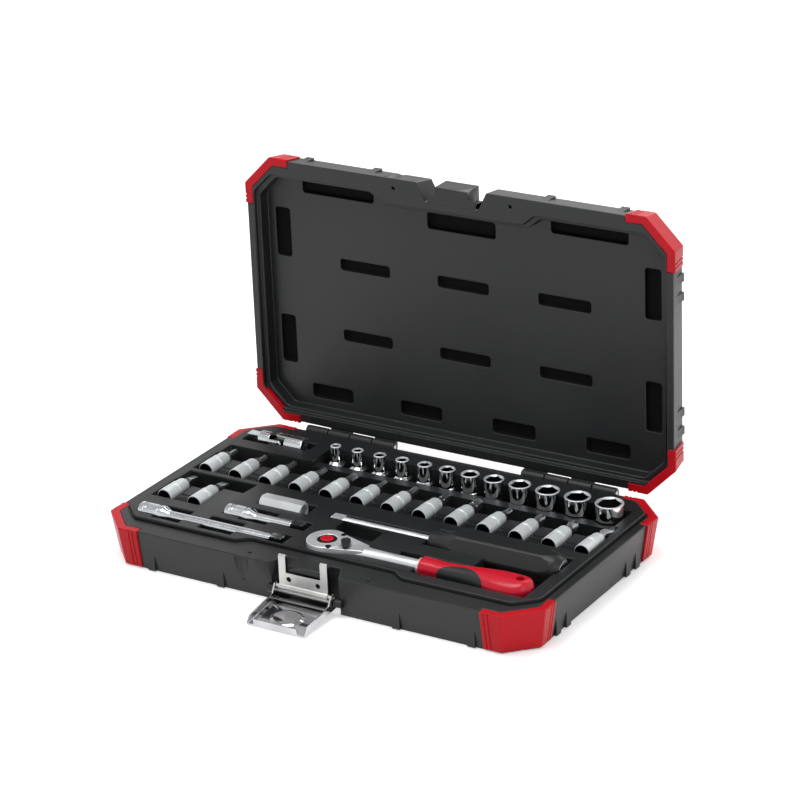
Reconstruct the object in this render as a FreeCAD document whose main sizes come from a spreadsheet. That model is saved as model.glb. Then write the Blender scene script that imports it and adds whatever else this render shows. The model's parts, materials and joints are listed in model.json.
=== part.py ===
"""Quarter-inch drive socket wrench set in its open moulded case.

The case lies along X with its latch at -Y. The origin is the middle of the base's underside, +Z is up.
The lid and the latch lever are drawn in their closed places and then swung open about their pins.
"""
import FreeCAD, Part
import math
import os
import Sketcher

# Driving dimensions in millimetres, or in degrees for names that end in angle
SIZES = {
    # case
    "end_margin": 16.5,
    "bar_gap": 14.5,
    "case_width": 176.0,
    "corner_cut": 18.5,
    "base_height": 26.0,
    "base_draft": 4.0,
    "lid_height": 17.0,
    "lid_draft": 2.6,
    "rim_gap": 0.4,
    "lid_open_angle": 90.0,
    # raised tool bed of the base and the recess of the lid that fits over it
    "bed_rise": 2.0,
    "bed_side_border": 6.5,
    "bed_back_border": 7.0,
    "bed_front_border": 14.5,
    "bed_latch_border": 20.6,
    "bed_corner_cut": 13.0,
    "bed_corner_radius": 6.0,
    "bed_groove": 0.9,
    "bed_groove_depth": 1.2,
    "latch_bay_half": 50.0,
    "latch_bay_slope": 8.0,
    "nest_clearance": 1.0,
    "lid_front_relief": 3.5,
    "lid_latch_relief": 2.6,
    "lid_step_depth": 3.0,
    "lid_step_inset": 2.5,
    "lid_recess_depth": 11.2,
    "tack_depth": 3.0,
    "tack_corner_radius": 1.8,
    "tack_side_margin": 19.0,
    # ribs, a dent and two small holes in the walls and rims
    "rib_half": 2.6,
    "rib_foot": 0.6,
    "base_rib_inset": 2.2,
    "lid_rib_inset": 1.0,
    "front_rib_near": 61.0,
    "front_rib_far": 111.0,
    "side_rib_near": 37.0,
    "side_rib_far": 49.0,
    "dent_place": 44.0,
    "dent_radius": 6.0,
    "dent_depth": 3.0,
    "dent_foot": 9.0,
    "dent_rim": 1.5,
    "rim_hole_radius": 1.0,
    "rim_hole_depth": 4.0,
    "rim_hole_place": 41.0,
    "rim_hole_back": 6.5,
    # red corner guards
    "guard_reach": 13.0,
    "guard_lip": 4.4,
    "guard_proud": 1.2,
    "guard_foot": 1.0,
    "guard_groove": 0.8,
    "guard_groove_depth": 0.6,
    "guard_groove_pitch": 2.6,
    # hinge
    "hinge_back": 3.4,
    "hinge_drop": 1.1,
    "knuckle_radius": 3.3,
    "knuckle_pitch": 16.5,
    "knuckle_gap": 0.5,
    "hinge_inner": 46.0,
    "hinge_pin_radius": 1.5,
    "pin_play": 0.05,
    # draw latch
    "latch_recess_half": 24.5,
    "latch_recess_depth": 12.0,
    "latch_recess_splay": 6.0,
    "latch_block_half": 11.5,
    "latch_block_back": 1.5,
    "latch_post_clearance": 0.4,
    "latch_shelf_drop": 3.5,
    "latch_pivot_back": 2.0,
    "latch_pivot_height": 8.5,
    "latch_throw": 4.0,
    "latch_throw_angle": 18.0,
    "latch_open_angle": 96.5,
    "latch_pin_radius": 1.2,
    "lug_radius": 2.6,
    "lug_gap": 0.4,
    "lug_root": 1.0,
    "lever_half": 20.0,
    "lever_reach": 34.0,
    "lever_offset": 3.2,
    "lever_tail": 1.5,
    "lever_wall": 4.6,
    "lever_flange_half": 15.0,
    "cheek_eye": 2.0,
    "cheek_eye_half": 1.5,
    "cheek_waist": 0.6,
    "cheek_waist_rise": 5.0,
    "cheek_shoulder_rise": 9.0,
    "cheek_nose": 4.0,
    "sheet_thick": 1.0,
    "link_half": 16.8,
    "link_arm_width": 4.9,
    "link_plate_rise": 9.4,
    "link_hook_rise": 19.5,
    "link_hook_radius": 1.2,
    "link_curl_radius": 2.0,
    "link_hole_radius": 1.6,
    "link_hole_half": 10.0,
    "link_hole_rise": 5.4,
    "catch_thick": 1.2,
    "catch_lift": 0.2,
    "catch_front": 4.7,
    # fits of the tools in the bed
    "seat_clearance": 0.3,
    "edge_chamfer": 0.6,
    "well_floor": 18.0,
    "drive_square": 6.3,
    "square_play": 0.1,
    "square_depth": 9.0,
    "square_length": 8.0,
    "bar_head_radius": 5.5,
    "detent_radius": 1.3,
    # sockets
    "socket_length": 25.0,
    "socket_drive_radius": 5.8,
    "socket_top": 36.0,
    "socket_row": 56.0,
    "socket_left_margin": 82.3,
    "socket_right_margin": 24.5,
    "socket_growth": 1.19,
    "socket_wall": 1.05,
    "socket_shoulder": 13.0,
    "socket_hex_depth": 10.0,
    "socket_trench_floor": 25.0,
    "socket_trench_half": 10.0,
    # bit sockets
    "bit_margin": 16.8,
    "bit_first_row": 6.5,
    "bit_second_row": -38.5,
    "bit_axis": 25.4,
    "bit_body_radius": 5.2,
    "bit_body_length": 22.0,
    "bit_shank_radius": 3.0,
    "bit_shank_depth": 11.0,
    "bit_reach": 12.5,
    "bit_play": 0.03,
    "bit_groove_depth": 0.35,
    "bit_groove_half": 0.8,
    "bit_groove_slope": 0.4,
    "bit_groove_place": 11.4,
    "bit_mouth_length": 2.5,
    "bit_mouth_taper": 1.4,
    "bit_blade_half": 0.5,
    "trough_width": 14.5,
    "trough_floor": 15.0,
    # extension bars
    "long_bar_length": 102.0,
    "short_bar_length": 54.5,
    "bar_head_length": 17.0,
    "bar_taper": 4.0,
    "bar_radius": 3.4,
    "bar_axis": 26.0,
    "long_bar_row": -61.0,
    "short_bar_margin": 65.5,
    "short_bar_row": -40.0,
    "finger_well": 11.0,
    "scoop_radius": 8.4,
    "head_scoop_start": 12.5,
    "head_scoop_length": 20.0,
    "shank_scoop_start": 46.5,
    "shank_scoop_length": 24.0,
    # coupler for loose bits
    "coupler_length": 30.0,
    "coupler_flats": 10.5,
    "coupler_bore_flats": 6.4,
    "coupler_bore_depth": 16.0,
    "coupler_margin": 76.5,
    "coupler_row": -18.5,
    # universal joint
    "joint_radius": 5.7,
    "joint_tail": 18.0,
    "joint_nose": 9.0,
    "joint_slot": 3.2,
    "joint_ear_half": 2.6,
    "joint_block_half": 3.0,
    "joint_pin_radius": 1.3,
    "joint_body_start": 5.0,
    "joint_neck_start": 6.8,
    "joint_margin": 37.0,
    "joint_nose_relief": 0.6,
    "joint_nose_chamfer": 1.2,
    "joint_pin_inset": 0.3,
    "joint_row": 62.0,
    "joint_axis": 27.0,
    "joint_swing_room": 2.6,
    # spinner handle
    "spinner_margin": 15.0,
    "spinner_row": -18.5,
    "spinner_axis": 25.0,
    "spinner_blade": 69.0,
    "spinner_blade_radius": 3.0,
    "spinner_tang": 28.0,
    "spinner_grip_length": 89.0,
    "spinner_flats": 19.0,
    "spinner_corner_radius": 10.4,
    "spinner_insert_radius": 6.0,
    "spinner_insert_depth": 14.0,
    "spinner_collar_radius": 6.4,
    "spinner_collar_edge": 1.0,
    "spinner_neck_growth": 0.6,
    "spinner_neck_length": 8.0,
    "spinner_shoulder_length": 20.0,
    "spinner_butt_length": 12.0,
    "spinner_butt_taper": 1.2,
    "spinner_butt_edge": 4.0,
    # ratchet
    "ratchet_row": -53.8,
    "ratchet_top": 31.0,
    "head_radius": 12.5,
    "head_thick": 10.0,
    "head_roof": 2.2,
    "head_step": 0.6,
    "shank_root": 4.0,
    "neck_end": 27.0,
    "shank_radius": 4.3,
    "shank_end": 66.0,
    "collar_radius": 5.8,
    "collar_length": 2.5,
    "gear_radius": 8.9,
    "gear_teeth": 36.0,
    "gear_tooth_depth": 0.8,
    "gear_height": 6.0,
    "gear_play": 0.25,
    "gear_lift": 0.4,
    "journal_drop": 0.3,
    "boss_sink": 0.2,
    "square_seat_clearance": 2.0,
    "boss_radius": 6.0,
    "running_play": 0.05,
    "cover_radius": 12.2,
    "cover_thick": 1.4,
    "pawl_radius": 4.0,
    "pawl_play": 0.25,
    "pawl_gap": 0.2,
    "pawl_floor": 1.0,
    "pawl_end_play": 0.3,
    "lever_pin_radius": 1.6,
    "reverser_thick": 1.8,
    "reverser_gap": 0.3,
    "reverser_hub_radius": 3.0,
    "reverser_reach": 6.4,
    "reverser_tip_radius": 2.2,
    "reverser_angle": 60.0,
    "button_radius": 4.0,
    "button_height": 4.5,
    "button_stroke": 1.5,
    "button_proud": 0.6,
    "head_screw_radius": 1.2,
    "head_screw_circle": 10.75,
    "head_screw_angle": 55.0,
    "head_screw_sink": 0.3,
    "grip_length": 72.0,
    "grip_neck_radius": 6.6,
    "grip_belly_radius": 10.6,
    "grip_flat_half": 7.4,
    "inlay_arch_radius": 23.0,
    "inlay_depth": 1.0,
    "grip_hole_radius": 2.3,
    "tang_radius": 3.4,
    "tang_length": 55.0,
    "hand_well_margin": 62.0,
    "hand_well_floor": 14.0,
}
SOCKET_SIZES = (4.0, 4.5, 5.0, 5.5, 6.0, 7.0, 8.0, 9.0, 10.0, 11.0, 12.0, 13.0)
# Tips of the bit sockets from left to right: form and the radius, half width or half flats of its tip
FIRST_ROW = (
    ("star", 10, 1.4), ("star", 15, 1.7), ("star", 20, 2.0), ("star", 25, 2.3), ("star", 30, 2.7),
    ("hex", 3, 1.5), ("hex", 4, 2.0), ("hex", 5, 2.5), ("hex", 6, 3.0),
    ("cross", 1, 2.2), ("cross", 2, 3.0), ("cross", 3, 3.6), ("flat", 7, 3.5),
)
SECOND_ROW = (("flat", 4, 2.0), ("flat", 5, 2.75))
# Tack-off pockets of the lid: middle across, distance from the hinge edge, width, height
TACK_POCKETS = (
    (0.0, 148.0, 48.0, 10.0), (88.7, 158.0, 52.0, 9.5), (-88.7, 158.0, 52.0, 9.5),
    (0.0, 109.0, 36.0, 7.2), (71.0, 109.0, 36.0, 7.2), (-71.0, 109.0, 36.0, 7.2),
    (0.0, 61.2, 36.0, 7.2), (71.0, 61.2, 36.0, 7.2), (-71.0, 61.2, 36.0, 7.2),
    (33.5, 19.0, 30.0, 9.2), (-33.5, 19.0, 30.0, 9.2), (99.5, 19.0, 30.0, 9.2), (-99.5, 19.0, 30.0, 9.2),
)
# Pockets along the lid's two sides: distance from the hinge edge, width, height
SIDE_POCKETS = ((124.5, 10.5, 32.0), (52.0, 10.5, 32.0))
# Shares of a bit's radius: flutes of a star, wings and point of a cross; and how far a detent ball is sunk
FLUTE_CIRCLE = 1.2
FLUTE_SHARE = 0.36
WING_SHARE = 0.28
POINT_SHARE = 0.35
BALL_SHARE = 0.55

doc = FreeCAD.newDocument("socket_set")
sheet = doc.addObject("Spreadsheet::Sheet", "sizes")


class Size:
    """A number that keeps the sheet expression it comes from."""

    def __init__(self, value, text):
        self.value = value
        self.text = text

    def __add__(self, other):
        other = as_size(other)
        return Size(self.value + other.value, f"({self.text} + {other.text})")

    def __sub__(self, other):
        other = as_size(other)
        return Size(self.value - other.value, f"({self.text} - {other.text})")

    def __rsub__(self, other):
        return as_size(other) - self

    def __mul__(self, other):
        other = as_size(other)
        return Size(self.value * other.value, f"({self.text} * {other.text})")

    def __truediv__(self, other):
        other = as_size(other)
        return Size(self.value / other.value, f"({self.text} / {other.text})")

    def __neg__(self):
        return Size(-self.value, f"(-1 * {self.text})")

    __radd__ = __add__
    __rmul__ = __mul__


def as_size(number):
    """A Size for a plain number, or the Size itself."""
    if isinstance(number, Size):
        return number
    return Size(float(number), f"({float(number)})")


class Sheet:
    """The sheet's values as attributes."""


dim = Sheet()
for row, (alias, number) in enumerate(SIZES.items(), start=1):
    sheet.set(f"A{row}", alias)
    sheet.set(f"B{row}", str(number))
    sheet.setAlias(f"B{row}", alias)
    setattr(dim, alias, Size(number, f"sizes.{alias}"))
doc.recompute()


def derive(alias, size):
    """Add a size to the sheet that follows from others."""
    line = len(SIZES) + len(derived) + 1
    derived.append(alias)
    sheet.set(f"A{line}", alias)
    sheet.set(f"B{line}", "=" + size.text.replace("sizes.", ""))
    sheet.setAlias(f"B{line}", alias)
    setattr(dim, alias, Size(size.value, f"sizes.{alias}"))


derived = []
# the long bar and the ratchet lie end to end, and the case is as long as they need
derive("case_length", 2 * dim.end_margin + dim.long_bar_length + dim.bar_gap + dim.head_radius + dim.shank_end
       + dim.grip_length)
derive("long_bar_start", dim.end_margin - dim.case_length / 2)
derive("ratchet_x", dim.case_length / 2 - dim.end_margin - dim.grip_length - dim.shank_end)
derive("short_bar_start", dim.short_bar_margin - dim.case_length / 2)
derive("coupler_start", dim.coupler_margin - dim.case_length / 2)
derive("joint_centre", dim.joint_margin - dim.case_length / 2)
derive("spinner_start", dim.case_length / 2 - dim.spinner_margin - dim.spinner_grip_length - dim.spinner_blade)
derive("hand_well_start", dim.case_length / 2 - dim.hand_well_margin)
derive("bit_pitch", (dim.case_length - 2 * dim.bit_margin) / (len(FIRST_ROW) - 1))
doc.recompute()

parts = {}
X_AXIS = FreeCAD.Vector(1, 0, 0)
Y_AXIS = FreeCAD.Vector(0, 1, 0)
Z_AXIS = FreeCAD.Vector(0, 0, 1)
ALONG = {
    "Z": FreeCAD.Rotation(),
    "X": FreeCAD.Rotation(Y_AXIS, 90),
    "Y": FreeCAD.Rotation(-X_AXIS, 90),
}
PAST = 2.0  # how far a cutter runs past the face that it opens
MELD = 0.1  # how far pieces that become one solid run into each other


def bind(thing, name, size):
    """Set a property to a size, with its expression where the size comes from the sheet."""
    size = as_size(size)
    setattr(thing, name, size.value)
    if "sizes." in size.text:
        thing.setExpression(name, size.text)


def place(thing, at, along="Z"):
    """Put a thing at a point, with its own Z along the named axis."""
    at = [as_size(value) for value in at]
    point = FreeCAD.Vector(*[value.value for value in at])
    thing.Placement = FreeCAD.Placement(point, ALONG[along])
    for letter, value in zip("xyz", at):
        if "sizes." in value.text:
            thing.setExpression(f"Placement.Base.{letter}", value.text)
    return thing


def swing(thing, angle, height, depth):
    """Turn a thing about the line along X at that depth (Y) and height (Z)."""
    turn = FreeCAD.Rotation(X_AXIS, angle)
    thing.Placement = FreeCAD.Placement(FreeCAD.Vector(), turn, FreeCAD.Vector(0, depth.value, height.value))
    return thing


def block(name, x, y, z):
    """A box between pairs of bounds."""
    thing = doc.addObject("Part::Box", name)
    for prop, (low, high) in zip(("Length", "Width", "Height"), (x, y, z)):
        bind(thing, prop, as_size(high) - as_size(low))
    return place(thing, (x[0], y[0], z[0]))


def rod(name, radius, length, at, along="Z"):
    """A cylinder that starts at a point and runs along an axis."""
    thing = doc.addObject("Part::Cylinder", name)
    bind(thing, "Radius", radius)
    bind(thing, "Height", length)
    return place(thing, at, along)


def cone(name, low_radius, high_radius, length, at, along="Z"):
    """A truncated cone that starts at a point and runs along an axis."""
    thing = doc.addObject("Part::Cone", name)
    bind(thing, "Radius1", low_radius)
    bind(thing, "Radius2", high_radius)
    bind(thing, "Height", length)
    return place(thing, at, along)


def ball(name, radius, at):
    """A sphere round a point."""
    thing = doc.addObject("Part::Sphere", name)
    bind(thing, "Radius", radius)
    return place(thing, at)


def hex_bar(name, flats, length, at):
    """A hexagonal bar along Z, by its width across flats, with a corner towards Y."""
    thing = doc.addObject("Part::Prism", name)
    thing.Polygon = 6
    bind(thing, "Circumradius", as_size(flats) / math.sqrt(3))
    bind(thing, "Height", length)
    place(thing, at)
    thing.Placement.Rotation = FreeCAD.Rotation(Z_AXIS, 30)
    return thing


def square_bar(name, side, length, start):
    """A square bar along Z, centred on the axis."""
    half = as_size(side) / 2
    return block(name, (-half, half), (-half, half), (start, as_size(start) + length))


def fuse(name, things):
    """One solid from things that meet."""
    thing = doc.addObject("Part::MultiFuse", name)
    thing.Shapes = things
    thing.Refine = True
    return thing


def cut(name, base, tools):
    """A thing with others cut out of it."""
    thing = doc.addObject("Part::Cut", name)
    thing.Base = base
    thing.Tool = tools[0] if len(tools) == 1 else fuse(f"{name}_cutters", tools)
    thing.Refine = True
    return thing


def common(name, first, second):
    """What two things share."""
    thing = doc.addObject("Part::Common", name)
    thing.Base = first
    thing.Tool = second
    return thing


def group(name, things):
    """Separate solids of one sub-part."""
    thing = doc.addObject("Part::Compound", name)
    thing.Links = things
    return thing


def outline(sketch, points):
    """Draw a closed polygon whose corners are held by sheet expressions."""
    points = [(as_size(x), as_size(y)) for x, y in points]
    count = len(points)
    corners = [FreeCAD.Vector(x.value, y.value, 0) for x, y in points]
    sketch.addGeometry([Part.LineSegment(corners[i], corners[(i + 1) % count]) for i in range(count)])
    sketch.addConstraint([Sketcher.Constraint("Coincident", i, 2, (i + 1) % count, 1) for i in range(count)])
    for i, (x, y) in enumerate(points):
        for kind, size, axis in (("DistanceX", x, -2), ("DistanceY", y, -1)):
            if size.value == 0:
                sketch.addConstraint(Sketcher.Constraint("PointOnObject", i, 1, axis))
                continue
            index = sketch.addConstraint(Sketcher.Constraint(kind, -1, 1, i, 1, size.value))
            if "sizes." in size.text:
                sketch.setExpression(f"Constraints[{index}]", size.text)


def plan(name, points, height):
    """A sketch of a polygon on a level plane."""
    sketch = doc.addObject("Sketcher::SketchObject", name)
    outline(sketch, points)
    return place(sketch, (0, 0, height))


def slab(name, points, low, high):
    """A polygon in plan, raised between two heights."""
    thing = doc.addObject("Part::Extrusion", name)
    thing.Base = plan(f"{name}_plan", points, low)
    thing.DirMode = "Custom"
    thing.Dir = Z_AXIS
    bind(thing, "LengthFwd", as_size(high) - as_size(low))
    thing.Solid = True
    return thing


def plate_across(name, points, low, high):
    """A polygon in the Y-Z plane, given as (y, z), run across X between two bounds."""
    sketch = doc.addObject("Sketcher::SketchObject", f"{name}_side")
    outline(sketch, points)
    place(sketch, (low, 0, 0))
    sketch.Placement.Rotation = FreeCAD.Rotation(FreeCAD.Vector(1, 1, 1), 120)
    thing = doc.addObject("Part::Extrusion", name)
    thing.Base = sketch
    thing.DirMode = "Custom"
    thing.Dir = X_AXIS
    bind(thing, "LengthFwd", as_size(high) - as_size(low))
    thing.Solid = True
    return thing


def softened(name, thing, radius):
    """Round the upright edges of a slab or a block."""
    doc.recompute()
    upright = []
    for number, edge in enumerate(thing.Shape.Edges, start=1):
        first, last = edge.Vertexes[0].Point, edge.Vertexes[-1].Point
        if math.hypot(first.x - last.x, first.y - last.y) < 1e-6:
            upright.append((number, radius.value, radius.value))
    rounded = doc.addObject("Part::Fillet", name)
    rounded.Base = thing
    rounded.Edges = upright
    return rounded


def loft(name, low, high):
    """A ruled solid between two sketches."""
    thing = doc.addObject("Part::Loft", name)
    thing.Sections = [low, high]
    thing.Solid = True
    thing.Ruled = True
    return thing


def turned(name, profile):
    """A body turned about Z from (radius, height) points."""
    body = doc.addObject("PartDesign::Body", name)
    sketch = body.newObject("Sketcher::SketchObject", f"{name}_profile")
    upright = next(plane for plane in body.Origin.OriginFeatures if plane.Role == "XZ_Plane")
    sketch.AttachmentSupport = (upright, [""])
    sketch.MapMode = "FlatFace"
    outline(sketch, profile)
    turn = body.newObject("PartDesign::Revolution", f"{name}_turn")
    turn.Profile = sketch
    turn.ReferenceAxis = (sketch, ["V_Axis"])
    turn.Angle = 360
    body.Tip = turn
    return body


def keep(name, thing):
    """Name a finished sub-part."""
    thing.Label = name
    parts[name] = thing
    return thing


def octagon(grow, height, name):
    """The case's outline with its cut corners, grown or shrunk all round."""
    half_x = dim.case_length / 2 + grow
    half_y = dim.case_width / 2 + grow
    corner = dim.corner_cut + as_size(grow) * (2 - math.sqrt(2))
    near_x = half_x - corner
    near_y = half_y - corner
    return plan(name, [
        (-half_x, -near_y), (-near_x, -half_y), (near_x, -half_y), (half_x, -near_y),
        (half_x, near_y), (near_x, half_y), (-near_x, half_y), (-half_x, near_y),
    ], height)


def bed_outline(inset, front_relief=0, latch_relief=0):
    """The border of the raised tool bed, which steps back behind the latch."""
    inset = as_size(inset)
    half = dim.case_length / 2 - dim.bed_side_border - inset
    back = dim.case_width / 2 - dim.bed_back_border - inset
    front = dim.bed_front_border - front_relief + inset - dim.case_width / 2
    bay = dim.bed_latch_border - latch_relief + inset - dim.case_width / 2
    corner = dim.bed_corner_cut
    bay_half = dim.latch_bay_half + inset
    bay_foot = bay_half + dim.latch_bay_slope
    return [
        (-half, front + corner), (corner - half, front), (-bay_foot, front), (-bay_half, bay),
        (bay_half, bay), (bay_foot, front), (half - corner, front), (half, front + corner),
        (half, back - corner), (half - corner, back), (corner - half, back), (-half, back - corner),
    ]


def lid_outline(inset):
    """The border of the lid's recess, which clears the tool bed and the ratchet's head."""
    return bed_outline(inset - dim.nest_clearance, dim.lid_front_relief, dim.lid_latch_relief)


# Heights and lines that several sub-parts share
base_top = dim.base_height
bed_top = dim.base_height + dim.bed_rise
lid_low = dim.base_height + dim.rim_gap
lid_top = lid_low + dim.lid_height
panel = lid_low + dim.lid_recess_depth
front_face = -(dim.case_width / 2)
back_face = dim.case_width / 2
hinge_y = back_face + dim.hinge_back
hinge_z = base_top - dim.hinge_drop
recess_wall = front_face + dim.latch_recess_depth
pivot_y = front_face + dim.latch_pivot_back
pivot_z = dim.latch_pivot_height


def throw_point(angle):
    """Where the link's pin lies round the lever's pivot at an angle."""
    turn = math.radians(angle)
    return pivot_y + dim.latch_throw * math.cos(turn), pivot_z + dim.latch_throw * math.sin(turn)


link_closed = throw_point(SIZES["latch_throw_angle"])
link_open = throw_point(SIZES["latch_throw_angle"] + SIZES["latch_open_angle"])


def guard_set(name, low, high, low_grow, high_grow):
    """Four guards that wrap the cut corners of a half of the case."""
    proud = dim.guard_proud
    skin = loft(f"{name}_skin", octagon(low_grow + proud, low, f"{name}_low"),
                octagon(high_grow + proud, high, f"{name}_high"))
    inner = doc.addObject("Part::Extrusion", f"{name}_inner")
    inner.Base = octagon(-dim.guard_lip, low - PAST, f"{name}_inside")
    inner.DirMode = "Custom"
    inner.Dir = Z_AXIS
    bind(inner, "LengthFwd", high - low + 2 * PAST)
    inner.Solid = True
    ring = cut(f"{name}_ring", skin, [inner])
    start_x = dim.case_length / 2 - dim.corner_cut - dim.guard_reach
    start_y = dim.case_width / 2 - dim.corner_cut - dim.guard_reach
    end_x = dim.case_length / 2 + proud + PAST
    end_y = dim.case_width / 2 + proud + PAST
    sunk = proud - dim.guard_groove_depth
    core = loft(f"{name}_core", octagon(low_grow + sunk, low, f"{name}_core_low"),
                octagon(high_grow + sunk, high, f"{name}_core_high"))
    lines = []
    for i in (1, 2):
        step = dim.guard_groove_pitch * i
        for side in (-1, 1):
            tag = f"{name}_{'low' if side < 0 else 'high'}_{i}"
            near_x, near_y = start_x + step, start_y + step
            far_x, far_y = near_x + dim.guard_groove, near_y + dim.guard_groove
            x = (near_x, far_x) if side > 0 else (-far_x, -near_x)
            y = (near_y, far_y) if side > 0 else (-far_y, -near_y)
            lines.append(block(f"{tag}_along", x, (-end_y, end_y), (low - PAST, high + PAST)))
            lines.append(block(f"{tag}_across", (-end_x, end_x), y, (low - PAST, high + PAST)))
    grooves = cut(f"{name}_grooves", fuse(f"{name}_lines", lines), [core])
    guards = {}
    for side, x in (("left", (-end_x, -start_x)), ("right", (start_x, end_x))):
        for end, y in (("front", (-end_y, -start_y)), ("back", (start_y, end_y))):
            corner = block(f"{name}_{end}_{side}_corner", x, y, (low - PAST, high + PAST))
            guards[f"{end}_{side}"] = common(f"{name}_{end}_{side}", ring, corner)
    worn = {corner: cut(f"{name}_{corner}_grooved", thing, [grooves]) for corner, thing in guards.items()}
    return guards, worn


def wall_ribs(name, inset, low, high):
    """Upright ribs on the front and side walls, which stand out where the walls slope in."""
    half = dim.rib_half
    front = front_face + inset
    side = dim.case_length / 2 - inset
    deep = dim.base_draft + PAST
    ribs = []
    for i, near in enumerate((dim.front_rib_near, dim.front_rib_far)):
        for mark, x in (("left", -near), ("right", near)):
            across = (x - half, x + half)
            ribs.append(block(f"{name}_front_{mark}_{i}", across, (front, front + deep), (low, high)))
    for i, near in enumerate((dim.side_rib_near, dim.side_rib_far)):
        for mark, y in (("near", -near), ("far", near)):
            along = (y - half, y + half)
            ribs.append(block(f"{name}_left_{mark}_{i}", (-side, deep - side), along, (low, high)))
            ribs.append(block(f"{name}_right_{mark}_{i}", (side - deep, side), along, (low, high)))
    return ribs


def wall_marks(name, dent_z, hole_z):
    """A dent in the front wall beside the latch, and two small holes in the rim."""
    y = front_face + dim.dent_depth - dim.dent_radius
    marks = [rod(f"{name}_dent", dim.dent_radius, dent_z[1] - dent_z[0], (-dim.dent_place, y, dent_z[0]))]
    for mark, x in (("left", -dim.rim_hole_place), ("right", dim.rim_hole_place)):
        marks.append(rod(f"{name}_rim_hole_{mark}", dim.rim_hole_radius, hole_z[1] - hole_z[0],
                         (x, front_face + dim.rim_hole_back, hole_z[0])))
    return marks


def knuckles(owner):
    """Barrels of one half of the hinge: the base has the outer one of each group, then they take turns."""
    first = 0 if owner == "base" else 1
    things = []
    for side in (-1, 1):
        for place_in in (first, first + 2):
            near = dim.hinge_inner + dim.knuckle_pitch * (3 - place_in) + dim.knuckle_gap / 2
            far = near + dim.knuckle_pitch - dim.knuckle_gap
            low, high = (near, far) if side > 0 else (-far, -near)
            name = f"{owner}_knuckle_{'left' if side < 0 else 'right'}_{place_in}"
            barrel = rod(name, dim.knuckle_radius, high - low, (low, hinge_y, hinge_z), "X")
            if owner == "base":
                leaf_z = (hinge_z - dim.knuckle_radius, hinge_z - dim.knuckle_gap)
            else:
                leaf_z = (lid_low + dim.catch_lift, hinge_z + dim.knuckle_radius)
            leaf = block(f"{name}_leaf", (low, high), (back_face - dim.knuckle_radius, hinge_y), leaf_z)
            things += [barrel, leaf]
    return things


def hinge_bores(owner):
    """Holes through a half's knuckles for the two pins."""
    radius = dim.hinge_pin_radius + dim.pin_play
    reach = dim.knuckle_pitch * 4 + 2 * PAST
    left = -(dim.hinge_inner + reach - PAST)
    return [
        rod(f"{owner}_bore_left", radius, reach, (left, hinge_y, hinge_z), "X"),
        rod(f"{owner}_bore_right", radius, reach, (dim.hinge_inner - PAST, hinge_y, hinge_z), "X"),
    ]


def latch_recess(name, low, high):
    """The splayed recess in a front wall that the latch folds into."""
    half = dim.latch_recess_half
    inner = half - dim.latch_recess_splay
    points = [(-inner, recess_wall), (-half, front_face), (-half, front_face - PAST),
              (half, front_face - PAST), (half, front_face), (inner, recess_wall)]
    return slab(name, points, low, high)


def cradle(name, radius, start, length, row, axis, along):
    """A round-bottomed groove for a tool that lies along X or Y, open upwards."""
    reach = radius + dim.seat_clearance
    across = (row - reach, row + reach)
    run = (start, start + length)
    x, y = (run, across) if along == "X" else (across, run)
    at = (start, row, axis) if along == "X" else (row, start, axis)
    return [
        rod(f"{name}_round", reach, length, at, along),
        block(f"{name}_open", x, y, (axis, bed_top + PAST)),
    ]


def head_outline(grow):
    """The ratchet's taper from head to shank in plan, about the head's middle."""
    wide = dim.head_radius * 0.88 + grow
    start = dim.head_radius * 0.47
    narrow = dim.shank_radius + grow
    return [(start, -wide), (dim.neck_end, -narrow), (dim.neck_end, narrow), (start, wide)]


def bit_columns():
    """The X places of the first row of bit sockets."""
    count = len(FIRST_ROW)
    return [dim.bit_pitch * (i - (count - 1) / 2) for i in range(count)]


def socket_radius(size):
    """Outside radius of a socket's hexagon end."""
    return dim.socket_growth * size / 2 + dim.socket_wall


def seat_radius(size):
    """Radius of the seat that a socket needs: its wider end."""
    radius = socket_radius(size)
    return radius if radius.value > dim.socket_drive_radius.value else dim.socket_drive_radius


def socket_seats():
    """For each socket size: its place along X and the radius of its seat, evenly apart between two margins."""
    radii = [seat_radius(size) for size in SOCKET_SIZES]
    steps = [first + second for first, second in zip(radii, radii[1:])]
    free = dim.case_length - dim.socket_left_margin - dim.socket_right_margin - sum(steps, as_size(0))
    gap = free / len(steps)
    x = dim.socket_left_margin - dim.case_length / 2
    seats = [(SOCKET_SIZES[0], x, radii[0])]
    for size, seat, step in zip(SOCKET_SIZES[1:], radii[1:], steps):
        x = x + step + gap
        seats.append((size, x, seat))
    return seats


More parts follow.
